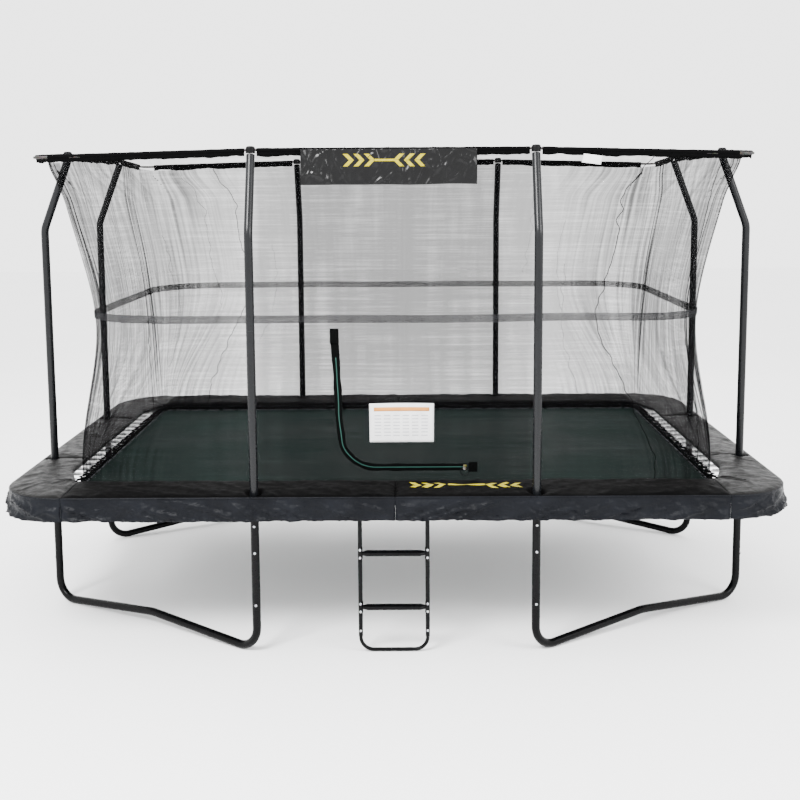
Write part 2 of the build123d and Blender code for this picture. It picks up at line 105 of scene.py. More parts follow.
def add_light(name, place, target, size, power):
    """One soft square light aimed at a point."""
    data = bpy.data.lights.new(name, "AREA")
    data.size = size
    data.energy = power
    light = bpy.data.objects.new(name, data)
    bpy.context.scene.collection.objects.link(light)
    light.location = place
    light.rotation_euler = (Vector(target) - Vector(place)).to_track_quat("-Z", "Y").to_euler()


def make_studio():
    """A bright even sky, two soft lights and a pale floor."""
    world = bpy.data.worlds.new("studio")
    bpy.context.scene.world = world
    world.use_nodes = True
    sky = world.node_tree.nodes["Background"]
    sky.inputs["Color"].default_value = (1, 1, 1, 1)
    sky.inputs["Strength"].default_value = 3.4
    add_light("key", (-4.0, -6.5, 7.5), (0, 0, 1.0), 3.0, 1900)
    add_light("fill", (5.5, -5.0, 5.0), (0, 0, 1.0), 3.0, 500)
    add_light("rim", (0.0, 6.5, 6.0), (0, 0, 1.2), 3.0, 500)
    bpy.ops.mesh.primitive_plane_add(size=60, location=(0, 0, -0.001))
    floor = bpy.context.object
    floor.name = "floor"
    mat = new_material("floor_pale", (0.94, 0.94, 0.94), roughness=0.75)
    shade = noise_value(mat, 0.6, 3)
    paint(mat, ramp(mat, shade, (0.3, (0.93, 0.93, 0.935)), (0.7, (0.95, 0.95, 0.95))))
    floor.data.materials.append(mat)


# ---------------------------------------------------------------- material helpers

def new_material(name, colour, **sockets):
    """A Principled material; further keywords set its sockets."""
    mat = bpy.data.materials.new(name)
    mat.use_nodes = True
    shader = mat.node_tree.nodes["Principled BSDF"]
    shader.inputs["Base Color"].default_value = (*colour, 1)
    for key, value in sockets.items():
        shader.inputs[key.replace("_", " ").title().replace("Ior", "IOR")].default_value = value
    return mat


def shader_of(mat):
    return mat.node_tree.nodes["Principled BSDF"]


def add(mat, kind, inputs=None, **properties):
    """A shader node, with its inputs set or linked."""
    node = mat.node_tree.nodes.new(kind)
    for key, value in properties.items():
        setattr(node, key, value)
    for key, value in (inputs or {}).items():
        if isinstance(value, bpy.types.NodeSocket):
            mat.node_tree.links.new(value, node.inputs[key])
        else:
            node.inputs[key].default_value = value
    return node


def coordinates(mat, stretch=(1, 1, 1), turn=0.0):
    """The object's own coordinates, stretched and turned about Z."""
    place = add(mat, "ShaderNodeTexCoord").outputs["Object"]
    mapping = add(mat, "ShaderNodeMapping", {"Vector": place, "Scale": stretch, "Rotation": (0, 0, turn)})
    return mapping.outputs["Vector"]


def noise_value(mat, scale, detail=2, stretch=(1, 1, 1), turn=0.0):
    where = coordinates(mat, stretch, turn)
    return add(mat, "ShaderNodeTexNoise", {"Vector": where, "Scale": scale, "Detail": detail}).outputs[0]


def wave_value(mat, scale, turn=0.0, direction="X", wobble=0.0):
    where = coordinates(mat, turn=turn)
    wave = add(mat, "ShaderNodeTexWave", {"Vector": where, "Scale": scale, "Distortion": wobble},
               bands_direction=direction)
    return wave.outputs["Fac"]


def maths(mat, operation, *values):
    return add(mat, "ShaderNodeMath", dict(enumerate(values)), operation=operation).outputs[0]


def mix(mat, factor, first, second, blend="MIX"):
    """One colour mixed with another."""
    inputs = {0: factor, 6: first, 7: second}
    return add(mat, "ShaderNodeMix", inputs, data_type="RGBA", blend_type=blend).outputs[2]


def remap(mat, value, low, high, to_low, to_high):
    return add(mat, "ShaderNodeMapRange", {"Value": value, 1: low, 2: high, 3: to_low, 4: to_high}).outputs[0]


def ramp(mat, value, *stops):
    """A colour ramp through (position, colour) stops."""
    node = add(mat, "ShaderNodeValToRGB", {"Fac": value})
    elements = node.color_ramp.elements
    for _ in range(len(stops) - 2):
        elements.new(0.5)
    for element, (place, colour) in zip(elements, stops):
        element.position = place
        element.color = (*colour, 1) if hasattr(colour, "__len__") else (colour, colour, colour, 1)
    return node.outputs["Color"]


def paint(mat, colour):
    mat.node_tree.links.new(colour, shader_of(mat).inputs["Base Color"])


def roughen(mat, value):
    mat.node_tree.links.new(value, shader_of(mat).inputs["Roughness"])


def vary_roughness(mat, scale, detail, low, high):
    """Roughness that drifts between two values."""
    roughen(mat, ramp(mat, noise_value(mat, scale, detail), (0.3, low), (0.7, high)))


def tint(colour, factor, lift=0.0):
    return [c * factor + lift for c in colour]


def mottle(mat, value, colour, dark, light):
    """Paints a colour that drifts between a darker and a lighter strength of itself."""
    paint(mat, ramp(mat, value, (0.3, tint(colour, dark)), (0.7, tint(colour, light))))


def emboss(mat, height, strength, distance):
    """Adds one layer of bump on top of what is there."""
    target = shader_of(mat).inputs["Normal"]
    node = add(mat, "ShaderNodeBump", {"Height": height, "Strength": strength, "Distance": distance})
    if target.is_linked:
        mat.node_tree.links.new(target.links[0].from_socket, node.inputs["Normal"])
    mat.node_tree.links.new(node.outputs["Normal"], target)


# ---------------------------------------------------------------- materials

def powder_coat(name, colour, rough, dust, gloss):
    """Powder-coated steel: faint orange peel, handling marks and a little dust."""
    mat = new_material(name, colour, coat_weight=0.012, coat_roughness=0.2, specular_ior_level=gloss)
    wear = noise_value(mat, 5.0, 4, (1, 1, 0.35))
    paint(mat, ramp(mat, wear, (0.32, tint(colour, 0.75)), (0.52, colour), (0.75, tint(colour, 1.25, dust))))
    vary_roughness(mat, 22.0, 5, rough - 0.06, rough + 0.10)
    emboss(mat, noise_value(mat, 420.0, 2), 0.10, 0.0006)
    emboss(mat, noise_value(mat, 60.0, 3, (1, 1, 0.15)), 0.04, 0.001)
    return mat


def metal(name, colour, rough, spangle):
    """Bare or plated steel with a faint crystal pattern."""
    mat = new_material(name, colour, metallic=1.0)
    cell = add(mat, "ShaderNodeTexVoronoi", {"Vector": coordinates(mat), "Scale": spangle}).outputs["Color"]
    dull = noise_value(mat, 30.0, 4)
    steel = ramp(mat, dull, (0.3, tint(colour, 0.7)), (0.7, colour))
    paint(mat, mix(mat, 0.18, steel, cell, "SOFT_LIGHT"))
    roughen(mat, ramp(mat, dull, (0.3, rough - 0.08), (0.7, rough + 0.12)))
    emboss(mat, noise_value(mat, 300.0, 3), 0.08, 0.0005)
    return mat


def plastic(name, colour, rough, gloss):
    """Moulded plastic with a fine grain."""
    mat = new_material(name, colour, specular_ior_level=gloss)
    mottle(mat, noise_value(mat, 12.0, 4), colour, 0.8, 1.3)
    vary_roughness(mat, 40.0, 3, rough - 0.08, rough + 0.1)
    emboss(mat, noise_value(mat, 900.0, 2), 0.15, 0.0004)
    return mat


def weave(mat, pitch, strength, depth, turn=0.0):
    """A plain weave: two crossed sets of ribs."""
    scale = 0.5 / pitch
    across = wave_value(mat, scale, turn=turn, direction="X")
    along = wave_value(mat, scale, turn=turn, direction="Y")
    crossed = maths(mat, "MULTIPLY", across, along)
    emboss(mat, crossed, strength, depth)
    return crossed


def mat_cloth():
    """The jumping mat: dark green woven tape yarn, with dust, scuffs and faint streaks, and painted shade in
    the weave's grooves.
    """
    mat = new_material("mat_cloth", (0.02, 0.04, 0.037), specular_ior_level=0.03)
    yarn = weave(mat, 0.0035, 0.5, 0.0008)
    stains = noise_value(mat, 1.3, 6)
    tone = ramp(mat, stains, (0.30, (0.0010, 0.0068, 0.0052)), (0.5, (0.0016, 0.0095, 0.0075)),
                (0.72, (0.0034, 0.0140, 0.0112)))
    scuff = noise_value(mat, 3.0, 8, (1, 3.5, 1), 0.5)
    marks = ramp(mat, scuff, (0.60, 0.0), (0.80, 0.25))
    dusty = mix(mat, marks, tone, (0.022, 0.036, 0.033, 1))
    # painted shade: the colour darkens where the weave dips and lightens on its crossings
    weave_groove_shade = ramp(mat, yarn, (0.1, 0.72), (0.9, 1.12))
    paint(mat, mix(mat, 1.0, dusty, weave_groove_shade, "MULTIPLY"))
    roughen(mat, ramp(mat, stains, (0.3, 0.50), (0.7, 0.66)))
    emboss(mat, noise_value(mat, 2.2, 4, (0.5, 3.0, 1)), 0.25, 0.01)
    return mat


def coated_cloth(name, dark, light, rough, crinkle, gloss):
    """Coated polyester: a fine weave under a slightly shiny film with small crinkles."""
    mat = new_material(name, dark, specular_ior_level=gloss)
    paint(mat, ramp(mat, noise_value(mat, 6.0, 6), (0.30, dark), (0.75, light)))
    vary_roughness(mat, 25.0, 4, rough - 0.08, rough + 0.1)
    weave(mat, 0.0016, 0.35, 0.0004)
    emboss(mat, noise_value(mat, 7.0, 4, (1, 1, 1.5), 0.4), crinkle, 0.022)
    emboss(mat, noise_value(mat, 22.0, 3, (1, 1, 1.3), 0.6), crinkle * 0.5, 0.006)
    return mat


def webbing(name, colour, pitch=0.004):
    """Ribbed woven tape, with painted shade in its grooves and painted highlight on its ribs."""
    mat = new_material(name, colour, specular_ior_level=0.02)
    ribs = weave(mat, pitch, 0.6, 0.0008, 0.785)
    # painted shade and highlight: darker where the ribs dip, lighter on their crowns
    paint(mat, ramp(mat, ribs, (0.0, tint(colour, 0.6)), (0.9, tint(colour, 1.4))))
    vary_roughness(mat, 30, 3, 0.7, 0.85)
    return mat


def net_cloth(name, colour, thin, thick, gathered, doubled):
    """Knitted mesh: thin dark threads with open holes, seen as partly clear cloth, denser where gathered."""
    mat = new_material(name, colour, roughness=0.85, specular_ior_level=0.03)
    rows = wave_value(mat, 1 / 0.012, direction="Z", wobble=0.6)
    streaks = noise_value(mat, 4.0, 5, (0.35, 0.35, 18))
    drift = noise_value(mat, 3.0, 5, (2.5, 2.5, 0.25))
    woven = maths(mat, "MULTIPLY_ADD", rows, 0.22, maths(mat, "ADD", streaks, drift))
    opacity = ramp(mat, woven, (0.62, thin), (1.0, (thin + thick) / 2), (1.35, thick))
    outline = add(mat, "ShaderNodeSeparateXYZ", {0: add(mat, "ShaderNodeTexCoord").outputs["Object"]})
    away = maths(mat, "ABSOLUTE", outline.outputs["X"])
    corner = remap(mat, away, 1.25, 1.80, 0.05, 1.0)
    cloth = add(mat, "ShaderNodeTexCoord").outputs["UV"]
    lengthwise = add(mat, "ShaderNodeMapping", {"Vector": cloth, "Scale": (1, 0.02, 1)}).outputs["Vector"]
    lines = add(mat, "ShaderNodeTexNoise", {"Vector": lengthwise, "Scale": 42.0, "Detail": 5.0}).outputs[0]
    folds = ramp(mat, lines, (0.40, 0.0), (0.70, gathered))
    middle = remap(mat, away, 0.80, 0.87, doubled, 0.0)
    total = maths(mat, "ADD", maths(mat, "ADD", opacity, middle), maths(mat, "MULTIPLY", folds, corner))
    mat.node_tree.links.new(total, shader_of(mat).inputs["Alpha"])
    mottle(mat, noise_value(mat, 9.0, 4, (1, 1, 0.3)), colour, 0.7, 1.4)
    return mat


def creased_vinyl():
    """Glossy black sheet, creased from folding."""
    mat = new_material("banner_vinyl", (0.001, 0.001, 0.001), coat_weight=0.03, coat_roughness=0.12,
                       specular_ior_level=0.16)
    shade = noise_value(mat, 8.0, 5)
    paint(mat, ramp(mat, shade, (0.3, (0.0007, 0.0007, 0.0008)), (0.7, (0.0016, 0.0016, 0.0018))))
    vary_roughness(mat, 18.0, 5, 0.16, 0.34)
    emboss(mat, noise_value(mat, 16.0, 4, (1, 1, 0.45), 0.3), 0.60, 0.012)
    return mat


def printed(name, colour):
    """Flat ink or card with a faint mottle and tooth."""
    mat = new_material(name, colour, specular_ior_level=0.2)
    mottle(mat, noise_value(mat, 20.0, 5), colour, 0.88, 1.0)
    vary_roughness(mat, 60.0, 3, 0.45, 0.62)
    emboss(mat, noise_value(mat, 500.0, 2), 0.08, 0.0003)
    return mat


def make_materials():
    """Every material of the object, under a short name."""
    gloss_black = (0.0010, 0.0010, 0.0012)
    plastic_black = (0.0016, 0.0016, 0.0018)
    cloth_black = (0.0014, 0.0014, 0.0016)
    return {
        "leg": powder_coat("leg_gloss_black", gloss_black, 0.26, 0.0005, 0.07),
        "pole": powder_coat("pole_satin_charcoal", (0.0026, 0.0030, 0.0037), 0.27, 0.0008, 0.20),
        "ladder": powder_coat("ladder_gloss_black", gloss_black, 0.26, 0.0005, 0.07),
        "cap": plastic("cap_plastic", plastic_black, 0.45, 0.08),
        "rod": metal("rod_steel", (0.045, 0.043, 0.041), 0.50, 90),
        "spring": metal("spring_steel", (0.22, 0.225, 0.23), 0.34, 200),
        "bolt": metal("bolt_zinc", (0.42, 0.43, 0.44), 0.26, 260),
        "mat": mat_cloth(),
        "pad": coated_cloth("pad_top_cloth", (0.0006, 0.0006, 0.0007), (0.0015, 0.0014, 0.0014),
                            0.55, 0.35, 0.014),
        # The corner and short-side pad tops: the same cover cloth as pad_top_cloth, painted lighter as
        # painted light and given more gloss
        "side_pad_painted_light": coated_cloth("pad_cloth_painted_lighter", (0.0016, 0.0015, 0.0015), (0.0040, 0.0038, 0.0037),
                                 0.40, 0.60, 0.05),
        "skirt": coated_cloth("pad_skirt_cloth", (0.0020, 0.0023, 0.0033), (0.0046, 0.0052, 0.0070),
                              0.32, 0.85, 0.06),
        "webbing": webbing("black_webbing", cloth_black),
        "sleeve": webbing("sleeve_cloth", (0.0014, 0.0014, 0.0015), 0.003),
        "net": net_cloth("net_mesh", cloth_black, 0.17, 0.40, 0.44, 0.16),
        "band": net_cloth("net_band", (0.012, 0.012, 0.013), 0.34, 0.50, 0.30, 0.0),
        "zip": webbing("zip_tape_cloth", (0.0013, 0.0015, 0.0015), 0.0025),
        "teeth": printed("zip_teeth_green", (0.006, 0.038, 0.029)),
        "chrome": metal("zip_metal", (0.75, 0.75, 0.75), 0.2, 300),
        "loop": plastic("pull_cord", plastic_black, 0.5, 0.08),
        "banner": creased_vinyl(),
        "yellow": printed("print_yellow", (0.30, 0.25, 0.002)),
        "orange": printed("print_orange", (0.50, 0.20, 0.04)),
        "grey_print": printed("print_grey", (0.34, 0.35, 0.38)),
        "paper": printed("card_white", (0.66, 0.66, 0.66)),
    }


# ---------------------------------------------------------------- mesh helpers

def make_object(name, verts, faces, materials, indices=None):
    """A mesh object at the origin, with its faces' material numbers."""
    mesh = bpy.data.meshes.new(name)
    mesh.from_pydata([tuple(v) for v in verts], [], [tuple(f) for f in faces])
    for mat in materials:
        mesh.materials.append(mat)
    if indices is not None:
        mesh.polygons.foreach_set("material_index", indices)
    mesh.polygons.foreach_set("use_smooth", [True] * len(mesh.polygons))
    mesh.update()
    obj = bpy.data.objects.new(name, mesh)
    bpy.context.scene.collection.objects.link(obj)
    return obj


def grid_faces(rows, cols, close_rows=False, close_cols=False):
    """Quads of a grid of rows x cols points, counted row by row."""
    faces = []
    for r in range(rows if close_rows else rows - 1):
        here, below = r * cols, (r + 1) % rows * cols
        for c in range(cols if close_cols else cols - 1):
            right = (c + 1) % cols
            faces.append((here + c, here + right, below + right, below + c))
    return faces


def end_caps(rows, cols):
    """The two end faces of a tube made of rows rings of cols points."""
    return [tuple(reversed(range(cols))), tuple(range((rows - 1) * cols, rows * cols))]


def slab_faces(rows, cols):
    """Faces of a closed thin slab whose two skins are grids of points."""
    layer = rows * cols
    front = grid_faces(rows, cols)
    back = [tuple(layer + i for i in reversed(f)) for f in front]
    rim = list(range(cols)) + [r * cols + cols - 1 for r in range(1, rows)]
    rim += [(rows - 1) * cols + c for c in range(cols - 2, -1, -1)]
    rim += [r * cols for r in range(rows - 2, 0, -1)]
    edge = []
    for i, a in enumerate(rim):
        b = rim[(i + 1) % len(rim)]
        edge.append((b, a, layer + a, layer + b))
    return front + back + edge


def sheet_mesh(surface, rows, cols, thickness):
    """A thin closed sheet over surface(u, v), where u and v run from 0 to 1."""
    front = [surface(c / (cols - 1), r / (rows - 1)) for r in range(rows) for c in range(cols)]
    back = [(x, y + thickness, z) for x, y, z in front]
    return front + back, slab_faces(rows, cols)


def print_bar(surface, u0, u1, v0, v1, shear=0.0, cols=12, rows=4):
    """A printed bar 0.4 mm thick that follows a surface."""
    def spot(u, v):
        return surface(u0 + (u1 - u0) * u + shear * v, v0 + (v1 - v0) * v)
    return sheet_mesh(spot, rows, cols, 0.0004)


def tube_mesh(points, radius, sides=6, closed=False):
    """Verts and faces of a tube along points, its ends capped unless closed. radius may vary by point."""
    pts = np.array(points, float)
    n = len(pts)
    if closed:
        tangents = np.roll(pts, -1, 0) - np.roll(pts, 1, 0)
    else:
        tangents = np.gradient(pts, axis=0)
    tangents /= np.linalg.norm(tangents, axis=1)[:, None] + 1e-12
    radii = np.full(n, radius) if np.isscalar(radius) else np.array(radius)
    side = np.cross(tangents[0], (0.0, 0.0, 1.0))
    if np.linalg.norm(side) < 1e-3:
        side = np.cross(tangents[0], (1.0, 0.0, 0.0))
    angles = np.arange(sides) * 2 * math.pi / sides
    verts = []
    for i in range(n):
        side = side - tangents[i] * side.dot(tangents[i])
        side /= np.linalg.norm(side) + 1e-12
        other = np.cross(tangents[i], side)
        verts.append(pts[i] + radii[i] * (np.cos(angles)[:, None] * side + np.sin(angles)[:, None] * other))
    faces = grid_faces(n, sides, closed, True)
    if not closed:
        faces += end_caps(n, sides)
    return np.concatenate(verts), faces


def lay_cloth(obj, stations, verts):
    """Gives each face corner its place along the net's cloth and its height, in metres, as its UV."""
    places = [(stations[i % len(stations)][2], v[2]) for i, v in enumerate(verts)]
    layer = obj.data.uv_layers.new(name="cloth")
    for polygon in obj.data.polygons:
        spots = [places[i] for i in polygon.vertices]
        widest = max(spot[0] for spot in spots)
        for loop, (u, v) in zip(polygon.loop_indices, spots):
            layer.data[loop].uv = (u + NET_AROUND if widest - u > NET_AROUND / 2 else u, v)


class Heap:
    """Gathers many small meshes into one object."""

    def __init__(self):
        self.verts, self.faces, self.count = [], [], 0

    def take(self, verts, faces):
        self.faces += [tuple(i + self.count for i in f) for f in faces]
        self.verts.append(np.array(verts, float))
        self.count += len(verts)

    def make(self, name, materials):
        return make_object(name, np.concatenate(self.verts), self.faces, materials)


def smooth_step(low, high, x):
    t = np.clip((x - low) / (high - low), 0, 1)
    return t * t * (3 - 2 * t)


def crease(x, y, seed):
    """Sharp ridges that wander, from 0 to 1, like folds pressed into stiff cloth."""
    bend = noise.noise((x * 0.8, y * 0.8, seed + 9.0)) * 0.9
    value = 1 - abs(noise.noise((x + bend, y - bend, seed))) * 2.6
    return max(0.0, value) ** 2


def finish_piece(obj, body):
    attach(obj, body)
    return obj


def follow_net(obj):
    """Bakes the piece's placement into its mesh."""
    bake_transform(obj)
    return obj


# ---------------------------------------------------------------- CAD nodes keep their shape

def dress_cad(mats):
    """Gives the CAD's own tubes, rods and fasteners their real materials."""
    kinds = {"frame_": "leg", "leg_base": "leg", "leg_posts": "leg", "leg_bolts": "bolt",
             "lower_poles": "pole", "upper_poles": "pole", "pole_caps": "cap", "top_rod": "rod",
             "jump_mat": "mat", "mat_border": "webbing", "ladder_": "ladder", "ladder_bolts": "bolt",
             "zip_slider": "chrome", "zip_pull": "loop"}
    for name, obj in NODES.items():
        found = [prefix for prefix in kinds if name.startswith(prefix)]
        if found:
            obj.data.materials.clear()
            obj.data.materials.append(mats[kinds[max(found, key=len)]])


# ---------------------------------------------------------------- springs and the mat's edge

def spring_places():
    """(mat edge point, outward direction) of each spring, grouped by the side it is on."""
    arc_x, arc_y = MAT_X - MAT_CORNER, MAT_Y - MAT_CORNER
    places = {"front": [], "back": [], "left": [], "right": []}
    long_count, short_count, corner_count = 30, 18, 3
    for sign, side in ((-1, "front"), (1, "back")):
        for i in range(long_count):
            x = -arc_x + (i + 0.5) * 2 * arc_x / long_count
            places[side].append(((x, sign * MAT_Y), (0, sign)))
    for sign, side in ((-1, "left"), (1, "right")):
        for i in range(short_count):
            y = -arc_y + (i + 0.5) * 2 * arc_y / short_count
            places[side].append(((sign * MAT_X, y), (sign, 0)))
    for sx, sy, name in SIGNS:
        middle = math.atan2(sy, sx)
        places["corner_" + name] = []
        for i in range(corner_count):
            angle = middle + (i - 1) * math.pi / 2 / corner_count
            out = (math.cos(angle), math.sin(angle))
            edge = (sx * arc_x + out[0] * MAT_CORNER, sy * arc_y + out[1] * MAT_CORNER)
            places["corner_" + name].append((edge, out))
    return places


def spring_line():
    """Centre line of one spring wire, from the ring hook through the coil to the rail hook."""
    coil_start, coil_end, coil_r, neck_r, turns = 0.040, 0.183, 0.0098, 0.0022, 26
    steps = turns * 8
    ring_hook = [(0.012, 0, -0.007), (0.0085, 0, -0.003), (0.009, 0, 0.003), (0.014, 0, 0.0055),
                 (0.024, 0, 0.003)]
    rail_hook = [(0.192, 0, 0.004), (0.203, 0, 0.005), (0.2105, 0, 0.003), (0.2135, 0, -0.004)]
    coil = []
    for i in range(steps + 1):
        part = i / steps
        swell = min(1.0, part * 9, (1 - part) * 9)
        radius = neck_r + (coil_r - neck_r) * swell
        turn = 2 * math.pi * turns * part
        x = coil_start + (coil_end - coil_start) * part
        coil.append((x, radius * math.sin(turn), radius * math.cos(turn)))
    return ring_hook + coil + rail_hook


def placed(verts, edge, out, z):
    """Moves a shape drawn along +X to a place on the mat's edge."""
    v = np.array(verts, float)
    x = edge[0] + v[:, 0] * out[0] - v[:, 1] * out[1]
    y = edge[1] + v[:, 0] * out[1] + v[:, 1] * out[0]
    return np.stack([x, y, v[:, 2] + z], 1)


def make_springs(mats):
    """Close-wound springs with a hook at each end."""
    verts, faces = tube_mesh(spring_line(), 0.0016, 5)
    for side, places in spring_places().items():
        heap = Heap()
        for edge, out in places:
            heap.take(placed(verts, edge, out, MAT_Z - 0.002), faces)
        obj = heap.make("coil_springs_" + side, [mats["spring"]])
        middle_edge, out = places[len(places) // 2]
        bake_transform(obj)
    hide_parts("springs")


def outline_points(half_x, half_y, radius, step):
    """Points round a rectangle with round corners, with their outward directions, counter-clockwise."""
    points = []
    straight = ((-1, -1, 1, 0, 2 * (half_x - radius)), (1, -1, 0, 1, 2 * (half_y - radius)),
                (1, 1, -1, 0, 2 * (half_x - radius)), (-1, 1, 0, -1, 2 * (half_y - radius)))
    for index, (sx, sy, ax, ay, length) in enumerate(straight):
        out = (ay, -ax)
        start = (sx * (half_x - radius) + out[0] * radius, sy * (half_y - radius) + out[1] * radius)
        count = max(2, int(length / step))
        for i in range(count):
            points.append((start[0] + ax * length * i / count, start[1] + ay * length * i / count, *out))
        turn_x = (half_x - radius) * (sx if ax == 0 else ax)
        turn_y = (half_y - radius) * (sy if ay == 0 else ay)
        count = max(4, int(radius * math.pi / 2 / step))
        base = math.atan2(out[1], out[0])
        for i in range(count):
            angle = base + math.pi / 2 * i / count
            direction = (math.cos(angle), math.sin(angle))
            points.append((turn_x + direction[0] * radius, turn_y + direction[1] * radius, *direction))
    return points


def make_edge_webbing(mats):
    """Webbing folded over the mat's edge."""
    ring = outline_points(MAT_X, MAT_Y, MAT_CORNER, 0.02)
    profile = ((-0.050, 0.0002), (-0.048, 0.0016), (-0.026, 0.0020), (-0.003, 0.0016), (0.0012, 0.0004),
               (0.0012, -0.0060), (-0.003, -0.0078), (-0.003, -0.0045), (-0.0005, -0.004), (-0.0005, -0.0002))
    verts = []
    for x, y, nx, ny in ring:
        wave = 0.0006 * noise.noise((x * 9, y * 9, 3))
        verts += [(x + nx * d, y + ny * d, MAT_Z + h + (wave if h > 0 else 0)) for d, h in profile]
    faces = grid_faces(len(ring), len(profile), True, True)
    finish_piece(make_object("mat_edge_webbing", verts, faces, [mats["webbing"]]), "mat")


def make_stitching(mats):
    """Three rows of stitches along the webbing."""
    stitches = Heap()
    for inset in (-0.046, -0.040, -0.008):
        for x, y, nx, ny in outline_points(MAT_X, MAT_Y, MAT_CORNER, 0.011):
            mid = np.array((x + nx * inset, y + ny * inset, MAT_Z + 0.0022))
            along = np.array((-ny, nx, 0)) * 0.0035
            stitches.take(*tube_mesh([mid - along, mid, mid + along], [0.0003, 0.0007, 0.0003], 4))
    finish_piece(stitches.make("mat_stitching", [mats["grey_print"]]), "mat")


def make_ring_tabs(mats):
    """A V-ring for each spring, held to the mat's edge by a folded fabric tab."""
    vee = [(-0.008, -0.017, 0), (-0.008, 0.017, 0), (-0.003, 0.0195, 0), (0.018, 0.004, 0),
           (0.021, 0.0, 0), (0.018, -0.004, 0), (-0.003, -0.0195, 0)]
    ring_verts, ring_faces = tube_mesh(vee, 0.0019, 6, closed=True)
    fold = ((-0.052, 0.0022), (-0.050, 0.0038), (-0.012, 0.0042), (-0.0055, 0.0036),
            (-0.0035, 0.0008), (-0.0055, -0.0028), (-0.008, -0.0070), (-0.052, -0.0072))
    widths = np.linspace(-0.0125, 0.0125, 6)
    tab = [(x, y, h) for y in widths for x, h in fold]
    tab_faces = grid_faces(len(widths), len(fold), False, True) + end_caps(len(widths), len(fold))
    rings, tabs = Heap(), Heap()
    for places in spring_places().values():
        for spot, out in places:
            rings.take(placed(ring_verts, spot, out, MAT_Z - 0.002), ring_faces)
            tabs.take(placed(tab, spot, out, MAT_Z), tab_faces)
    ring_piece = finish_piece(rings.make("mat_vee_rings", [mats["spring"]]), "mat")
    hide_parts("mat_rings")
    finish_piece(tabs.make("mat_ring_tabs", [mats["webbing"]]), "mat")


def make_lacing(mats):
    """The black tape that laces the net's hem to the rings, in two crossing zigzags round the mat."""
    random.seed(11)
    heap = Heap()
    track = outline_points(MAT_X, MAT_Y, MAT_CORNER, 0.055)
    for turn in (0, 1):
        points = []
        for i, (x, y, nx, ny) in enumerate(track):
            outer = (i + turn) % 2
            reach = (0.030 if outer else -0.030) + random.uniform(-0.005, 0.005)
            height = (0.0045 if outer else 0.0095) + 0.002 * turn
            points.append((x + nx * reach, y + ny * reach, MAT_Z + height))
        heap.take(*tube_mesh(points, 0.0046, 8, closed=True))
    finish_piece(heap.make("net_lacing", [mats["webbing"]]), "mat")


# ---------------------------------------------------------------- safety pads

PAD_X = CORNER_PAD_HIGH.x
PAD_Y = -FRONT_PAD_LOW.y
PAD_R = 0.385
PAD_IN_X = SIDE_PAD_LOW.x
PAD_IN_Y = -FRONT_PAD_HIGH.y
PAD_CORNER_IN = 1.975
PAD_SLOPE_Y = 0.95
PAD_BOTTOM = FRONT_PAD_HIGH.z - 0.030
PAD_TOP = FRONT_PAD_HIGH.z
SKIRT_FOOT = FRONT_PAD_LOW.z
SEAM_X = FRONT_PAD_HIGH.x
PAD_GAP = 0.0003
PAD_STEP = 0.012
SKIRT_THICK = 0.0028
SKIRT_RISE = 0.017
PAD_SEED = 1.0
PAD_SEED_STEP = 3.7
POLE_SPOTS = [(sx * FRONT_POLE.x, sy * -FRONT_POLE.y) for sx in (-1, 1) for sy in (-1, 1)]
POLE_SPOTS += [(sx * SIDE_POLE.x, sy * SIDE_POLE.y) for sx in (-1, 1) for sy in (-1, 1)]


def inner_x(y):
    """The pad ring's inner edge on a short side at this Y."""
    part = min(max((abs(y) - PAD_SLOPE_Y) / (PAD_IN_Y - PAD_SLOPE_Y), 0), 1)
    return PAD_IN_X + (PAD_CORNER_IN - PAD_IN_X) * part


def long_stations(x0, x1, step):
    """(inner point, outer point) pairs along a long pad, in the quadrant where Y is positive."""
    count = int(abs(x1 - x0) / step)
    xs = [x0 + (x1 - x0) * i / count for i in range(count + 1)]
    return [((x, PAD_IN_Y), (x, PAD_Y)) for x in xs]


def corner_stations(step):
    """The same for a corner pad, from the long side's seam round to the side pole's seam."""
    centre = (PAD_X - PAD_R, PAD_Y - PAD_R)
    stations = [((PAD_CORNER_IN - 0.022, PAD_IN_Y), (SEAM_X + 0.001, PAD_Y)),
                ((PAD_CORNER_IN - 0.012, PAD_IN_Y), (SEAM_X + 0.012, PAD_Y))]
    count = int(PAD_R * math.pi / 2 / step)
    turn_y = centre[1] - 0.02
    for i in range(count + 1):
        part = i / count
        angle = math.pi / 2 * (1 - part)
        outer = (centre[0] + PAD_R * math.cos(angle), centre[1] + PAD_R * math.sin(angle))
        y = PAD_IN_Y + (turn_y - PAD_IN_Y) * part
        stations.append(((inner_x(y), y), outer))
    last = SIDE_POLE.y + 0.001
    count = int((turn_y - last) / step)
    for i in range(1, count + 1):
        part = i / count
        outer_y = centre[1] + (last - centre[1]) * part
        y = turn_y + (last - turn_y) * part
        stations.append(((inner_x(y), y), (PAD_X, outer_y)))
    return stations


def side_stations(step):
    """The same for the middle pad of a short side."""
    last = SIDE_POLE.y - 0.001
    count = int(2 * last / step)
    ys = [last - 2 * last * i / count for i in range(count + 1)]
    return [((PAD_IN_X, y), (PAD_X, y)) for y in ys]


def pad_profile():
    """(kind, distance across the pad, height, part of the skirt) round one cross-section."""
    rows = [("foam", 0.0, 0.003, 0), ("foam", -0.0045, 0.010, 0)]
    rows += [("foam", -0.0045, 0.021, 0), ("foam", 0.0, 0.0275, 0)]
    rows += [("top", i / 16, 0.030, 0) for i in range(1, 16)]
    rows += [("edge", 0.0, 0.0275, 0), ("edge", 0.0035, 0.023, 0)]
    rows += [("skirt_out", 0.0, 0.0, i / 14) for i in range(15)]
    rows += [("skirt_in", 0.0, 0.0, i / 14) for i in range(14, -1, -2)]
    rows += [("under", 0.75, 0.002, 0), ("under", 0.4, 0.001, 0), ("under", 0.1, 0.001, 0)]
    return rows


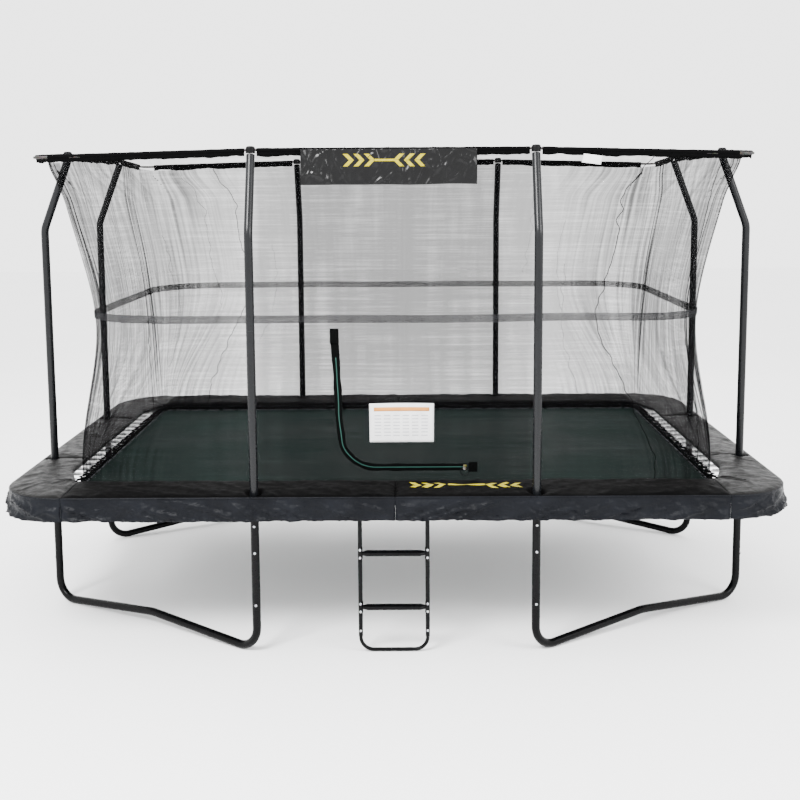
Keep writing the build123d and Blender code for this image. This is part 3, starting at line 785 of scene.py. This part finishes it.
def pad_crown(along, part, point, seed):
    """The cover's height above its flat foam: a soft crown, creases, and a dip round each pole."""
    height = 0.010 * math.sin(math.pi * part) ** 0.6
    height += 0.0045 * noise.noise((along * 3.0, part * 2.2, seed))
    height += 0.0060 * crease(along * 5.0 + part * 1.5, part * 2.5, seed + 2)
    for px, py in POLE_SPOTS:
        gone = math.hypot(point[0] - abs(px), point[1] - abs(py))
        height -= 0.010 * math.exp(-((gone - 0.026) / 0.022) ** 2) if gone > 0.01 else 0.010
    return height


def skirt_shape(s, depth, seed):
    """How far the skirt stands out at this place along it, from 0 at its seam to its hem."""
    swing = 0.012 * noise.noise((s * 1.7, 0.3, seed)) + 0.010 * noise.noise((s * 6.0, depth * 0.5, seed))
    fold = 0.020 * crease(s * 5.5 + depth * 1.6, depth * 1.3 + s * 1.2, seed)
    fold += 0.013 * crease(s * 13.0 - depth * 2.6, depth * 2.4, seed + 4)
    ease = math.sin(min(depth * 1.4, 1.0) * math.pi / 2)
    return ease * (swing + fold + 0.004) + 0.0015


def pole_slit(outer, s_dir, depth):
    """The slit through the skirt at each pole: one lip stands proud of the other."""
    shift = 0.0
    for px, py in POLE_SPOTS:
        along = (outer[0] - px) * s_dir[0] + (outer[1] - py) * s_dir[1]
        away = math.hypot(outer[0] - px, outer[1] - py)
        if away < 0.16:
            fall = math.exp(-abs(along) / 0.035)
            shift += (0.013 if along > 0 else -0.004) * fall * (0.3 + depth)
    return shift


def pad_edges(stations):
    """(inner point, outer point, direction along the outer edge, outward normal) at each station."""
    edges = []
    for i, (inner, outer) in enumerate(stations):
        inner, outer = np.array(inner), np.array(outer)
        before = stations[max(i - 1, 0)][1]
        after = stations[min(i + 1, len(stations) - 1)][1]
        run = np.array(after) - np.array(before)
        run /= np.linalg.norm(run)
        normal = np.array((run[1], -run[0]))
        if normal.dot(outer - inner) < 0:
            normal = -normal
        edges.append((inner, outer, run, normal))
    return edges


def pad_section(rows, edge, along, pucker, seed):
    """The points of one cross-section; pucker is 1 at the pad's sewn ends and fades away from them."""
    inner, outer, run, normal = edge
    across = outer - inner
    width = np.linalg.norm(across)
    across /= width
    section = []
    for kind, d, h, depth in rows:
        z = PAD_BOTTOM + h
        if kind in ("foam", "top", "under"):
            point = inner + across * (d if kind == "foam" else d * width)
        else:
            point = outer + normal * d
        if kind == "top":
            z += pad_crown(along, d, point, seed) * (1 - 0.75 * pucker) - 0.006 * pucker
        elif kind in ("skirt_out", "skirt_in"):
            loose = skirt_shape(along, depth, seed) + pole_slit(outer, run, depth)
            out = loose * (1 - pucker) + 0.004 * pucker
            if kind == "skirt_in":
                out -= SKIRT_THICK
            hem = 0.006 * noise.noise((along * 2.5, 5.0, seed))
            point = point + normal * out
            z = PAD_BOTTOM + SKIRT_RISE + (SKIRT_FOOT + hem - PAD_BOTTOM - SKIRT_RISE) * depth
            if kind == "skirt_in" and depth == 0:
                z = PAD_BOTTOM + 0.002
        section.append((point[0], point[1], z))
    return section


def make_pad(name, stations, flip, mats, seed, top_cloth):
    """One padded cover: crowned foam top, sewn edge and a wrinkled hanging skirt, one closed mesh."""
    sx, sy = flip
    rows = pad_profile()
    cols = len(rows)
    edges = pad_edges(stations)
    verts, along = [], 0.0
    for i, edge in enumerate(edges):
        along += math.dist(edge[1], edges[max(i - 1, 0)][1])
        from_end = min(i, len(edges) - 1 - i) * PAD_STEP
        pucker = math.exp(-from_end / 0.02)
        verts += [(sx * x, sy * y, z) for x, y, z in pad_section(rows, edge, along, pucker, seed)]
    faces = grid_faces(len(edges), cols, False, True)
    indices = [0 if rows[f[0] % cols][0] in ("foam", "top") else 1 for f in faces] + [1, 1]
    faces += end_caps(len(edges), cols)
    if sx * sy > 0:
        faces = [tuple(reversed(f)) for f in faces]
    obj = make_object("cover_" + name, verts, faces, [mats[top_cloth], mats["skirt"]], indices)
    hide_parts("pad_" + name)
    finish_piece(obj, "root")
    make_piping(name, edges, flip, mats)


def make_piping(name, edges, flip, mats):
    """The piping sewn along the top's outer edge."""
    points = []
    for i, (_, outer, _, normal) in enumerate(edges):
        spot = outer + normal * 0.0025
        height = PAD_TOP - 0.008 + 0.0012 * noise.noise((i * 0.3, 2, 1))
        points.append((flip[0] * spot[0], flip[1] * spot[1], height))
    piping = make_object(f"cover_{name}_piping", *tube_mesh(points, 0.0035, 6), [mats["skirt"]])
    finish_piece(piping, "root")


def make_pads(mats):
    """Two pads on each long side, one at each corner and one on each short side."""
    seed = PAD_SEED
    for sx, sy, name in SIGNS:
        make_pad(name, long_stations(PAD_GAP, SEAM_X, PAD_STEP), (sx, sy), mats, seed, "pad")
        # the corner pad takes the painted-light, lighter copy of the pad cloth
        make_pad("corner_" + name, corner_stations(PAD_STEP), (sx, sy), mats, seed + 20, "side_pad_painted_light")
        seed += PAD_SEED_STEP
    for sx, name in ((-1, "left"), (1, "right")):
        # the short-side pad takes the painted-light, lighter copy of the pad cloth
        make_pad(name, side_stations(PAD_STEP), (sx, 1), mats, seed + 40, "side_pad_painted_light")
        seed += PAD_SEED_STEP


# ---------------------------------------------------------------- enclosure net

NET_LOW = NET_LOW_BOX.z - 0.008
NET_TOP = ROD_TOP_Z - 0.010
NET_X = 1.953
NET_Y = 1.203
TOP_X = SIDE_NET_HIGH.x
TOP_Y = -NET_LOW_BOX.y
NET_LONG, NET_SHORT, NET_BEND = 3.1, 1.7, 0.55
NET_SPANS = ((NET_LONG, 150), (NET_BEND, 44), (NET_SHORT, 96), (NET_BEND, 44)) * 2
NET_ROWS = 110
GATHER_REACH = 0.28
NET_AROUND = sum(span for span, _ in NET_SPANS)


def net_level(z):
    """Half sizes and corner radius of the net's outline at a height: it is drawn in at the middle."""
    part = (z - NET_LOW) / (NET_TOP - NET_LOW)
    waist = np.sin(np.pi * np.clip(part, 0, 1)) ** 2
    rise = smooth_step(0.93, 1.0, part) * 0.012
    half_x = NET_X + (TOP_X - NET_X) * part - 0.10 * waist + rise
    half_y = NET_Y + (TOP_Y - NET_Y) * part - 0.05 * waist + rise
    radius = 0.10 + 0.38 * smooth_step(0.0, 0.55, part) - 0.14 * smooth_step(0.85, 1.0, part)
    return half_x, half_y, radius


def net_stations():
    """(side, part along it, running length, closeness to a corner) round the whole net."""
    stations, length = [], 0.0
    for side, (span, count) in enumerate(NET_SPANS):
        for i in range(count):
            even = i / count
            part = even if side % 2 else 0.45 * even + 0.55 * (0.5 - 0.5 * math.cos(math.pi * even))
            near = 1.0 if side % 2 else math.exp(-min(part, 1 - part) * span / GATHER_REACH)
            stations.append((side, part, length + span * part, near))
        length += span
    return stations


def net_ring(stations, z):
    """Points and outward directions of the net's outline at one height."""
    a, b, r = net_level(z)
    quads = ((-1, -1), (1, -1), (1, 1), (-1, 1))
    points = []
    for side, part, _, _ in stations:
        index = side // 2
        sx, sy = quads[index]
        nx, ny = quads[(index + 1) % 4]
        out = ((0, -1), (1, 0), (0, 1), (-1, 0))[index]
        start = (sx * (a - r) + out[0] * r, sy * (b - r) + out[1] * r)
        end = (nx * (a - r) + out[0] * r, ny * (b - r) + out[1] * r)
        if side % 2 == 0:
            x = start[0] + (end[0] - start[0]) * part
            y = start[1] + (end[1] - start[1]) * part
            points.append((x, y, *out))
        else:
            angle = math.atan2(out[1], out[0]) + math.pi / 2 * part
            d = (math.cos(angle), math.sin(angle))
            points.append((nx * (a - r) + d[0] * r, ny * (b - r) + d[1] * r, *d))
    return points


def zip_calm(length, z):
    """0 where the zip and its slider lie flat on the front net, 1 away from them."""
    x = length - NET_LONG / 2
    beside = max(abs(x - 0.08) - 0.50, 0.0) / 0.25
    above = max(z - 1.12, 0.0) / 0.35
    return min(1.0, math.hypot(beside, above))


def net_fold(length, near, z):
    """How far the cloth stands out from its smooth outline: gathers near the corners, calm in the middle."""
    part = (z - NET_LOW) / (NET_TOP - NET_LOW)
    calm = 0.25 + 0.75 * min(1.0, part * 5)
    broad = 0.010 * noise.noise((length * 1.3, z * 0.7, 2.0))
    gather = noise.noise((length * 21, z * 0.55, 7.0)) + 0.6 * noise.noise((length * 47, z * 0.9, 1.0))
    top = math.exp(-(NET_TOP - z) / 0.25)
    ruffle = 0.0035 * top * noise.noise((length * 30, z * 2.0, 4.0))
    return zip_calm(length, z) * calm * (broad + (0.0015 + 0.020 * near) * gather) + ruffle


def net_top(x, y):
    """How far the top rods hang here below their height between the poles, as a negative rise."""
    beside = 0.12
    over_x = max(0.0, abs(x) - FRONT_POLE.x) / (ROD_X - FRONT_POLE.x)
    over_y = max(0.0, abs(y) - SIDE_POLE.y) / (ROD_Y - SIDE_POLE.y)
    long_side = over_x if abs(y) > ROD_Y - beside else 0
    short_side = over_y if abs(x) > ROD_X - beside else 0
    return -(ROD_TOP_Z - ROD_CORNER_Z) * max(long_side, short_side) - 0.030 * (over_x * over_y)


def make_net(mats):
    """The net as one sheet round all four sides, with its band, seams, hem and top sleeves."""
    stations = net_stations()
    count = len(stations)
    verts = []
    for r in range(NET_ROWS):
        z = NET_LOW + (NET_TOP - NET_LOW) * r / (NET_ROWS - 1)
        part = r / (NET_ROWS - 1)
        for (x, y, nx, ny), (_, _, length, near) in zip(net_ring(stations, z), stations):
            fold = net_fold(length, near, z)
            lift = net_top(x, y) * smooth_step(0.75, 1.0, part)
            verts.append((x + nx * fold, y + ny * fold, z + float(lift)))
    net = make_object("net", verts, grid_faces(NET_ROWS, count, False, True), [mats["net"]])
    lay_cloth(net, stations, verts)
    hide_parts("net_front", "net_back", "net_left", "net_right")
    follow_net(net)
    extras = [net_strip("net_band", stations, 1.972, 0.048, 0.004, mats["band"]),
              net_strip("net_hem", stations, NET_LOW + 0.012, 0.026, 0.0015, mats["webbing"])]
    extras += [net_seams(verts, count, mats)]
    extras += make_sleeves(mats)


def net_strip(name, stations, height, width, off, mat):
    """A band of tape sewn round the outside of the net, 1 mm thick."""
    verts = []
    rows = ((-0.5, 0.0), (-0.5, 0.001), (0.0, 0.0014), (0.5, 0.001), (0.5, 0.0))
    for part, thick in rows:
        for station in stations:
            _, _, length, near = station
            sway = 0.010 * noise.noise((length * 0.9, 1.0, 6.0)) if width > 0.03 else 0
            z = height + width * part + sway
            x, y, nx, ny = net_ring([station], z)[0]
            reach = net_fold(length, near, z) * 0.9 + off + thick
            verts.append((x + nx * reach, y + ny * reach, z))
    strip = make_object(name, verts, grid_faces(len(rows), len(stations), True, True), [mat])
    lay_cloth(strip, stations, verts)
    return follow_net(strip)


def net_seams(verts, count, mats):
    """Seams that wander down the net: bold ones near the corners, fine short ones between."""
    heap = Heap()
    seams = [(spot, 0, NET_ROWS, 0.0024) for spot in (132, 212)]
    seams += [(spot, start, start + 44, 0.0009) for spot, start in ((14, 40), (30, 60), (118, 30), (240, 50))]
    for first_spot, first, last, thick in seams:
        for spot in (first_spot, first_spot + count // 2):
            line = []
            for r in range(first, last):
                drift = 3.4 * noise.noise((r * 0.045, spot, 3.0)) + 1.6 * noise.noise((r * 0.27, spot, 8.0))
                low_spot = math.floor(spot + drift)
                part = spot + drift - low_spot
                a = np.array(verts[r * count + low_spot % count])
                b = np.array(verts[r * count + (low_spot + 1) % count])
                line.append((a + (b - a) * part) * (1.002, 1.002, 1))
            heap.take(*tube_mesh(line, thick, 5))
    return follow_net(heap.make("net_seams", [mats["webbing"]]))


def sleeve_run(start, end, seed, out):
    """One length of the top sleeve: cloth wrapped round the rod with a flap sewn below it."""
    cloth_r = 0.0115
    profile = []
    for i in range(13):
        angle = math.radians(-60 + 300 * i / 12)
        profile.append((cloth_r * math.cos(angle), cloth_r * math.sin(angle), 0.0))
    profile += [(-0.003, -0.018, 0.3), (-0.002, -0.034, 1.0), (0.001, -0.034, 1.0), (0.003, -0.018, 0.3)]
    a, b = np.array(start), np.array(end)
    length = np.linalg.norm(b - a)
    count = max(6, int(length / 0.012))
    verts = []
    for i in range(count + 1):
        x, y, z = a + (b - a) * i / count
        run = length * i / count
        puff = 1.0 + 0.16 * noise.noise((run * 14, 1.0, seed)) + 0.10 * crease(run * 20, 0.5, seed)
        wave = 0.010 * noise.noise((run * 11, 3.0, seed)) + 0.006 * noise.noise((run * 31, 1.0, seed))
        sag = 0.010 * noise.noise((run * 6, 8.0, seed))
        for across, up, hang in profile:
            reach = across * puff + wave * hang
            verts.append((x + out[0] * reach, y + out[1] * reach, z + up * puff + sag * hang))
    cols = len(profile)
    return verts, grid_faces(count + 1, cols, False, True) + end_caps(count + 1, cols)


def make_sleeves(mats):
    """Sleeves on all four sides, open at the poles and bare at the corners."""
    pieces = []
    bare = 0.10
    gap = 0.036
    fall = ROD_TOP_Z - ROD_CORNER_Z
    for side, out in (("front", (0, -1)), ("back", (0, 1)), ("left", (-1, 0)), ("right", (1, 0))):
        heap = Heap()
        long_side = out[0] == 0
        reach = ROD_X if long_side else ROD_Y
        pole = FRONT_POLE.x if long_side else SIDE_POLE.y
        at_corner = -fall * (reach - bare - pole - gap) / (reach - pole)
        at_pole = -fall * gap / (reach - pole)
        spans = (((-reach + bare, at_corner), (-pole - gap, at_pole)), ((-pole + gap, 0), (pole - gap, 0)),
                 ((pole + gap, at_pole), (reach - bare, at_corner)))
        for number, span in enumerate(spans):
            ends = []
            for t, rise in span:
                place = (t, out[1] * ROD_Y) if long_side else (out[0] * ROD_X, t)
                ends.append((*place, ROD_TOP_Z + rise))
            heap.take(*sleeve_run(*ends, number + 5.0 * out[0] + 11 * out[1], out))
        piece = heap.make("net_sleeve_" + side, [mats["sleeve"]])
        pieces.append(finish_piece(piece, "root"))
    return pieces


def on_front_net(x, z, off):
    """A point on the front net's outer face, moved out by off."""
    _, half_y, _ = net_level(z)
    half = NET_LONG / 2
    near = math.exp(-(half - abs(x)) / GATHER_REACH) if abs(x) < half else 1.0
    fold = net_fold(x + half, near, z)
    return (x, -(float(half_y) + fold) - off, z)


# ---------------------------------------------------------------- zip door, placard, banner and prints

def zip_line():
    """The zip's centre line on the net as (x, z), from the top down and across."""
    x0 = ZIP_LOW_BOX.x + 0.027
    low = ZIP_LOW_BOX.z + 0.031
    top = ZIP_HIGH_BOX.z
    radius = 0.22
    end = ZIP_HIGH_BOX.x - 0.062
    points = []
    for i in range(40):
        points.append((x0 - 0.030 * (1 - i / 39), top + (low + radius - top) * i / 39))
    for i in range(1, 30):
        angle = math.pi + math.pi / 2 * i / 30
        points.append((x0 + radius + radius * math.cos(angle), low + radius + radius * math.sin(angle)))
    for i in range(40):
        points.append((x0 + radius + (end - x0 - radius) * i / 39, low))
    line = []
    for i, (x, z) in enumerate(points):
        fade = min(1, max(0, (72 - i) / 25))
        waver = 0.009 * noise.noise((i * 0.11, 4.0, 2.0)) * fade
        line.append((x + waver, z + 0.4 * waver))
    return line


def make_zip(mats):
    """The zip's tape with its rolled edge, the green teeth, the top flap and the end patch."""
    line = np.array(zip_line())
    run = np.gradient(line, axis=0)
    run /= np.linalg.norm(run, axis=1)[:, None]
    side = np.stack([-run[:, 1], run[:, 0]], 1)
    widths = []
    for i in range(len(line)):
        widths.append(0.044 + 0.012 * noise.noise((i * 0.16, 1.0, 1.0)) + 0.012 * math.exp(-i / 9))
    stops = (0.5, 0.42, 0.1, 0.03, -0.03, -0.1, -0.42, -0.5)
    tape = zip_ribbon("zip_tape_cloth", line, side, widths, stops, 0.0024, mats["zip"])
    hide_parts("zip_tape")
    green = slice(9, len(line))
    widths = [0.0062] * len(line[green])
    zip_ribbon("zip_teeth", line[green], side[green], widths, (0.5, 0.2, -0.2, -0.5), 0.0034, mats["teeth"])
    x, z = line[0]
    cloth_patch("zip_top_flap", (x - 0.027, x + 0.027), (z - 0.055, z + 0.040), 0.0075, mats["zip"])
    x, z = line[-1]
    cloth_patch("zip_end_patch", (x + 0.006, x + 0.062), (z - 0.031, z + 0.031), 0.0045, mats["zip"])


def zip_ribbon(name, line, side, widths, stops, lift, mat):
    """A thin closed ribbon laid along a line on the front net, raised along its middle."""
    verts = []
    for i, (spot, away) in enumerate(zip(line, side)):
        section = []
        for stop in stops:
            x, z = spot + away * stop * widths[i]
            ridge = 0.0005 if abs(stop) < 0.15 else 0
            high = lift + ridge + 0.0004 * noise.noise((i * 0.35, stop * 3, 2.0))
            section.append(on_front_net(x, z, high))
        verts += section + [(x, y + 0.0009, z) for x, y, z in reversed(section)]
    cols = 2 * len(stops)
    faces = grid_faces(len(line), cols, False, True) + end_caps(len(line), cols)
    return follow_net(make_object(name, verts, faces, [mat]))


def cloth_patch(name, xs, zs, off, mat):
    """A small thick patch lying on the front net."""
    def spot(u, v):
        x = xs[0] + (xs[1] - xs[0]) * u
        z = zs[0] + (zs[1] - zs[0]) * v
        return on_front_net(x, z, off + 0.0015 * noise.noise((x * 40, z * 40, 5.0)))
    follow_net(make_object(name, *sheet_mesh(spot, 14, 14, 0.0014), [mat]))


def make_placard(mats):
    """A laminated card hung on the net, with a heading bar and plain ruled bars."""
    card = make_object("placard_card", *sheet_mesh(card_point, 18, 26, 0.0012), [mats["paper"]])
    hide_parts("placard")
    follow_net(card)
    rules = []
    for column in range(6):
        for row in range(7):
            u, v = 0.08 + column * 0.145, 0.68 - row * 0.085
            rules.append((u, u + 0.10, v, v + 0.02))
    heading = [(0.07, 0.93, 0.80, 0.90)]
    for name, ink, bars in (("placard_heading", "orange", heading), ("placard_rules", "grey_print", rules)):
        heap = Heap()
        for bar in bars:
            heap.take(*print_bar(lambda u, v: card_point(u, v, 0.0006), *bar))
        follow_net(heap.make(name, [mats[ink]]))


def card_point(u, v, off=0.0):
    """A point on the card, a little bowed and narrower at its foot."""
    x = CARD_LOW.x + (CARD_HIGH.x - CARD_LOW.x) * u + 0.004 * (0.5 - u) * (1 - v)
    z = CARD_LOW.z + (CARD_HIGH.z - CARD_LOW.z) * v + 0.003 * math.sin(math.pi * u) * v
    bow = 0.006 * math.sin(math.pi * u) * math.sin(math.pi * v)
    flat_y = on_front_net(0.04, z, 0.0)[1]
    return (x, flat_y - 0.0075 - bow - off, z)


def banner_point(u, v, off=0.0):
    """A point on the hanging banner: creased, and gathered along its top."""
    x = BANNER_LOW.x + (BANNER_HIGH.x - BANNER_LOW.x) * u
    z = BANNER_LOW.z + (BANNER_HIGH.z - BANNER_LOW.z) * v + 0.006 * noise.noise((u * 4, v, 2.0)) * (1 - v)
    middle = (BANNER_LOW.y + BANNER_HIGH.y) / 2
    wave = 0.007 * noise.noise((x * 5, z * 3, 1.0)) + 0.009 * crease(x * 9 + z * 3, z * 5, 3.0)
    wave += 0.006 * crease(x * 17 - z * 8, z * 7, 8.0)
    return (x, middle - 0.006 - wave - off, z)


def chevrons(heap, surface, starts, width, lean, heights):
    """Chevrons that point to the middle of a plain mark; heights are their foot, point and top."""
    foot, point, top = heights
    for start in starts:
        shift = lean if start < 0.5 else -lean
        heap.take(*print_bar(surface, start, start + width, foot, point, shift, 8, 6))
        heap.take(*print_bar(surface, start + shift, start + shift + width, point, top, -shift, 8, 6))


def make_banner(mats):
    """The glossy creased sheet tied under the front top rod, with a plain chevron mark."""
    sheet = make_object("banner_sheet", *sheet_mesh(banner_point, 34, 150, 0.001), [mats["banner"]])
    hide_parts("banner")
    finish_piece(sheet, "root")

    def face(u, v):
        return banner_point(u, v, 0.0009)
    marks = Heap()
    chevrons(marks, face, (0.24, 0.30, 0.36, 0.56, 0.62, 0.68), 0.028, 0.035, (0.50, 0.68, 0.86))
    marks.take(*print_bar(face, 0.42, 0.54, 0.645, 0.715, 0.0, 16, 4))
    mark = finish_piece(marks.make("banner_mark", [mats["yellow"]]), "root")
    ties = Heap()
    for u in (0.02, 0.25, 0.5, 0.75, 0.98):
        ties.take(*loop_tie(banner_point(u, 0.96)[0]))
    tie = finish_piece(ties.make("banner_ties", [mats["webbing"]]), "root")


def loop_tie(x):
    """A cable tie round the top rod and through the banner's edge."""
    points = []
    for i in range(20):
        angle = 2 * math.pi * i / 20
        points.append((x, -ROD_Y + 0.018 * math.cos(angle), ROD_TOP_Z - 0.004 + 0.020 * math.sin(angle)))
    return tube_mesh(points, 0.0016, 5, closed=True)


def pad_mark_point(u, v):
    """A point just above the front right pad's top."""
    x = 0.05 + 0.80 * u
    away = PAD_IN_Y + 0.10 + 0.14 * (1 - v)
    part = (away - PAD_IN_Y) / (PAD_Y - PAD_IN_Y)
    height = pad_crown(x - PAD_GAP, part, (x, away), PAD_SEED + PAD_SEED_STEP)
    return (x, -away, PAD_TOP + height + 0.0016)


def make_pad_mark(mats):
    """The same plain chevron mark, printed on the front right pad."""
    marks = Heap()
    chevrons(marks, pad_mark_point, (0.04, 0.13, 0.22, 0.66, 0.75, 0.84), 0.045, 0.05, (0.1, 0.5, 0.9))
    marks.take(*print_bar(pad_mark_point, 0.33, 0.61, 0.40, 0.60, 0.0, 24, 4))
    finish_piece(marks.make("pad_mark", [mats["yellow"]]), "root")


def tag_point(u, v):
    """A point on the tag, which hangs askew and curls towards its foot."""
    left, foot = 1.095, 2.898
    x = left + 0.110 * u + 0.012 * v
    z = foot + 0.050 * v - 0.014 * u
    return (x, -ROD_Y - 0.020 - 0.010 * math.sin(u * 3) * (1 - v), z)


def make_tag(mats):
    """The small white sewn tag that hangs from the front sleeve."""
    tag = make_object("sewn_tag", *sheet_mesh(tag_point, 8, 12, 0.0008), [mats["paper"]])
    finish_piece(tag, "root")


# ---------------------------------------------------------------- pad straps seen from below

def strap_section():
    """(across, up) outline of a thin strip bent most of the way round the frame tube."""
    rings = []
    for radius in (RAIL_R + 0.0015, RAIL_R + 0.003):
        angles = [math.radians(140 + 20 * i) for i in range(17)]
        rings.append([(radius * math.cos(a), radius * math.sin(a)) for a in angles])
    return rings[0] + rings[1][::-1]


def make_straps(mats):
    """Elastic straps that hold each pad to the frame tube, moved aside at the poles."""
    heap = Heap()
    section = strap_section()
    cols = len(section)
    spots = [(x, sy * RAIL_Y, 0, sy) for x in np.linspace(-1.8, 1.8, 9) for sy in (-1, 1)]
    spots += [(sx * RAIL_X, y, sx, 0) for y in (-1.0, -0.35, 0.35, 1.0) for sx in (-1, 1)]
    for x, y, ox, oy in spots:
        if oy and abs(abs(x) - 0.9) < 0.1:
            x += 0.12 if x > 0 else -0.12
        verts = [(x + ox * across + abs(oy) * w, y + oy * across + abs(ox) * w, RAIL_Z + up)
                 for w in (-0.010, 0.010) for across, up in section]
        heap.take(verts, grid_faces(2, cols, False, True) + end_caps(2, cols))
    finish_piece(heap.make("pad_straps", [mats["webbing"]]), "root")


def main():
    make_camera()
    make_studio()
    mats = make_materials()
    dress_cad(mats)
    make_springs(mats)
    make_edge_webbing(mats)
    make_stitching(mats)
    make_ring_tabs(mats)
    make_lacing(mats)
    make_pads(mats)
    make_net(mats)
    make_zip(mats)
    make_placard(mats)
    make_banner(mats)
    make_pad_mark(mats)
    make_tag(mats)
    make_straps(mats)


main()
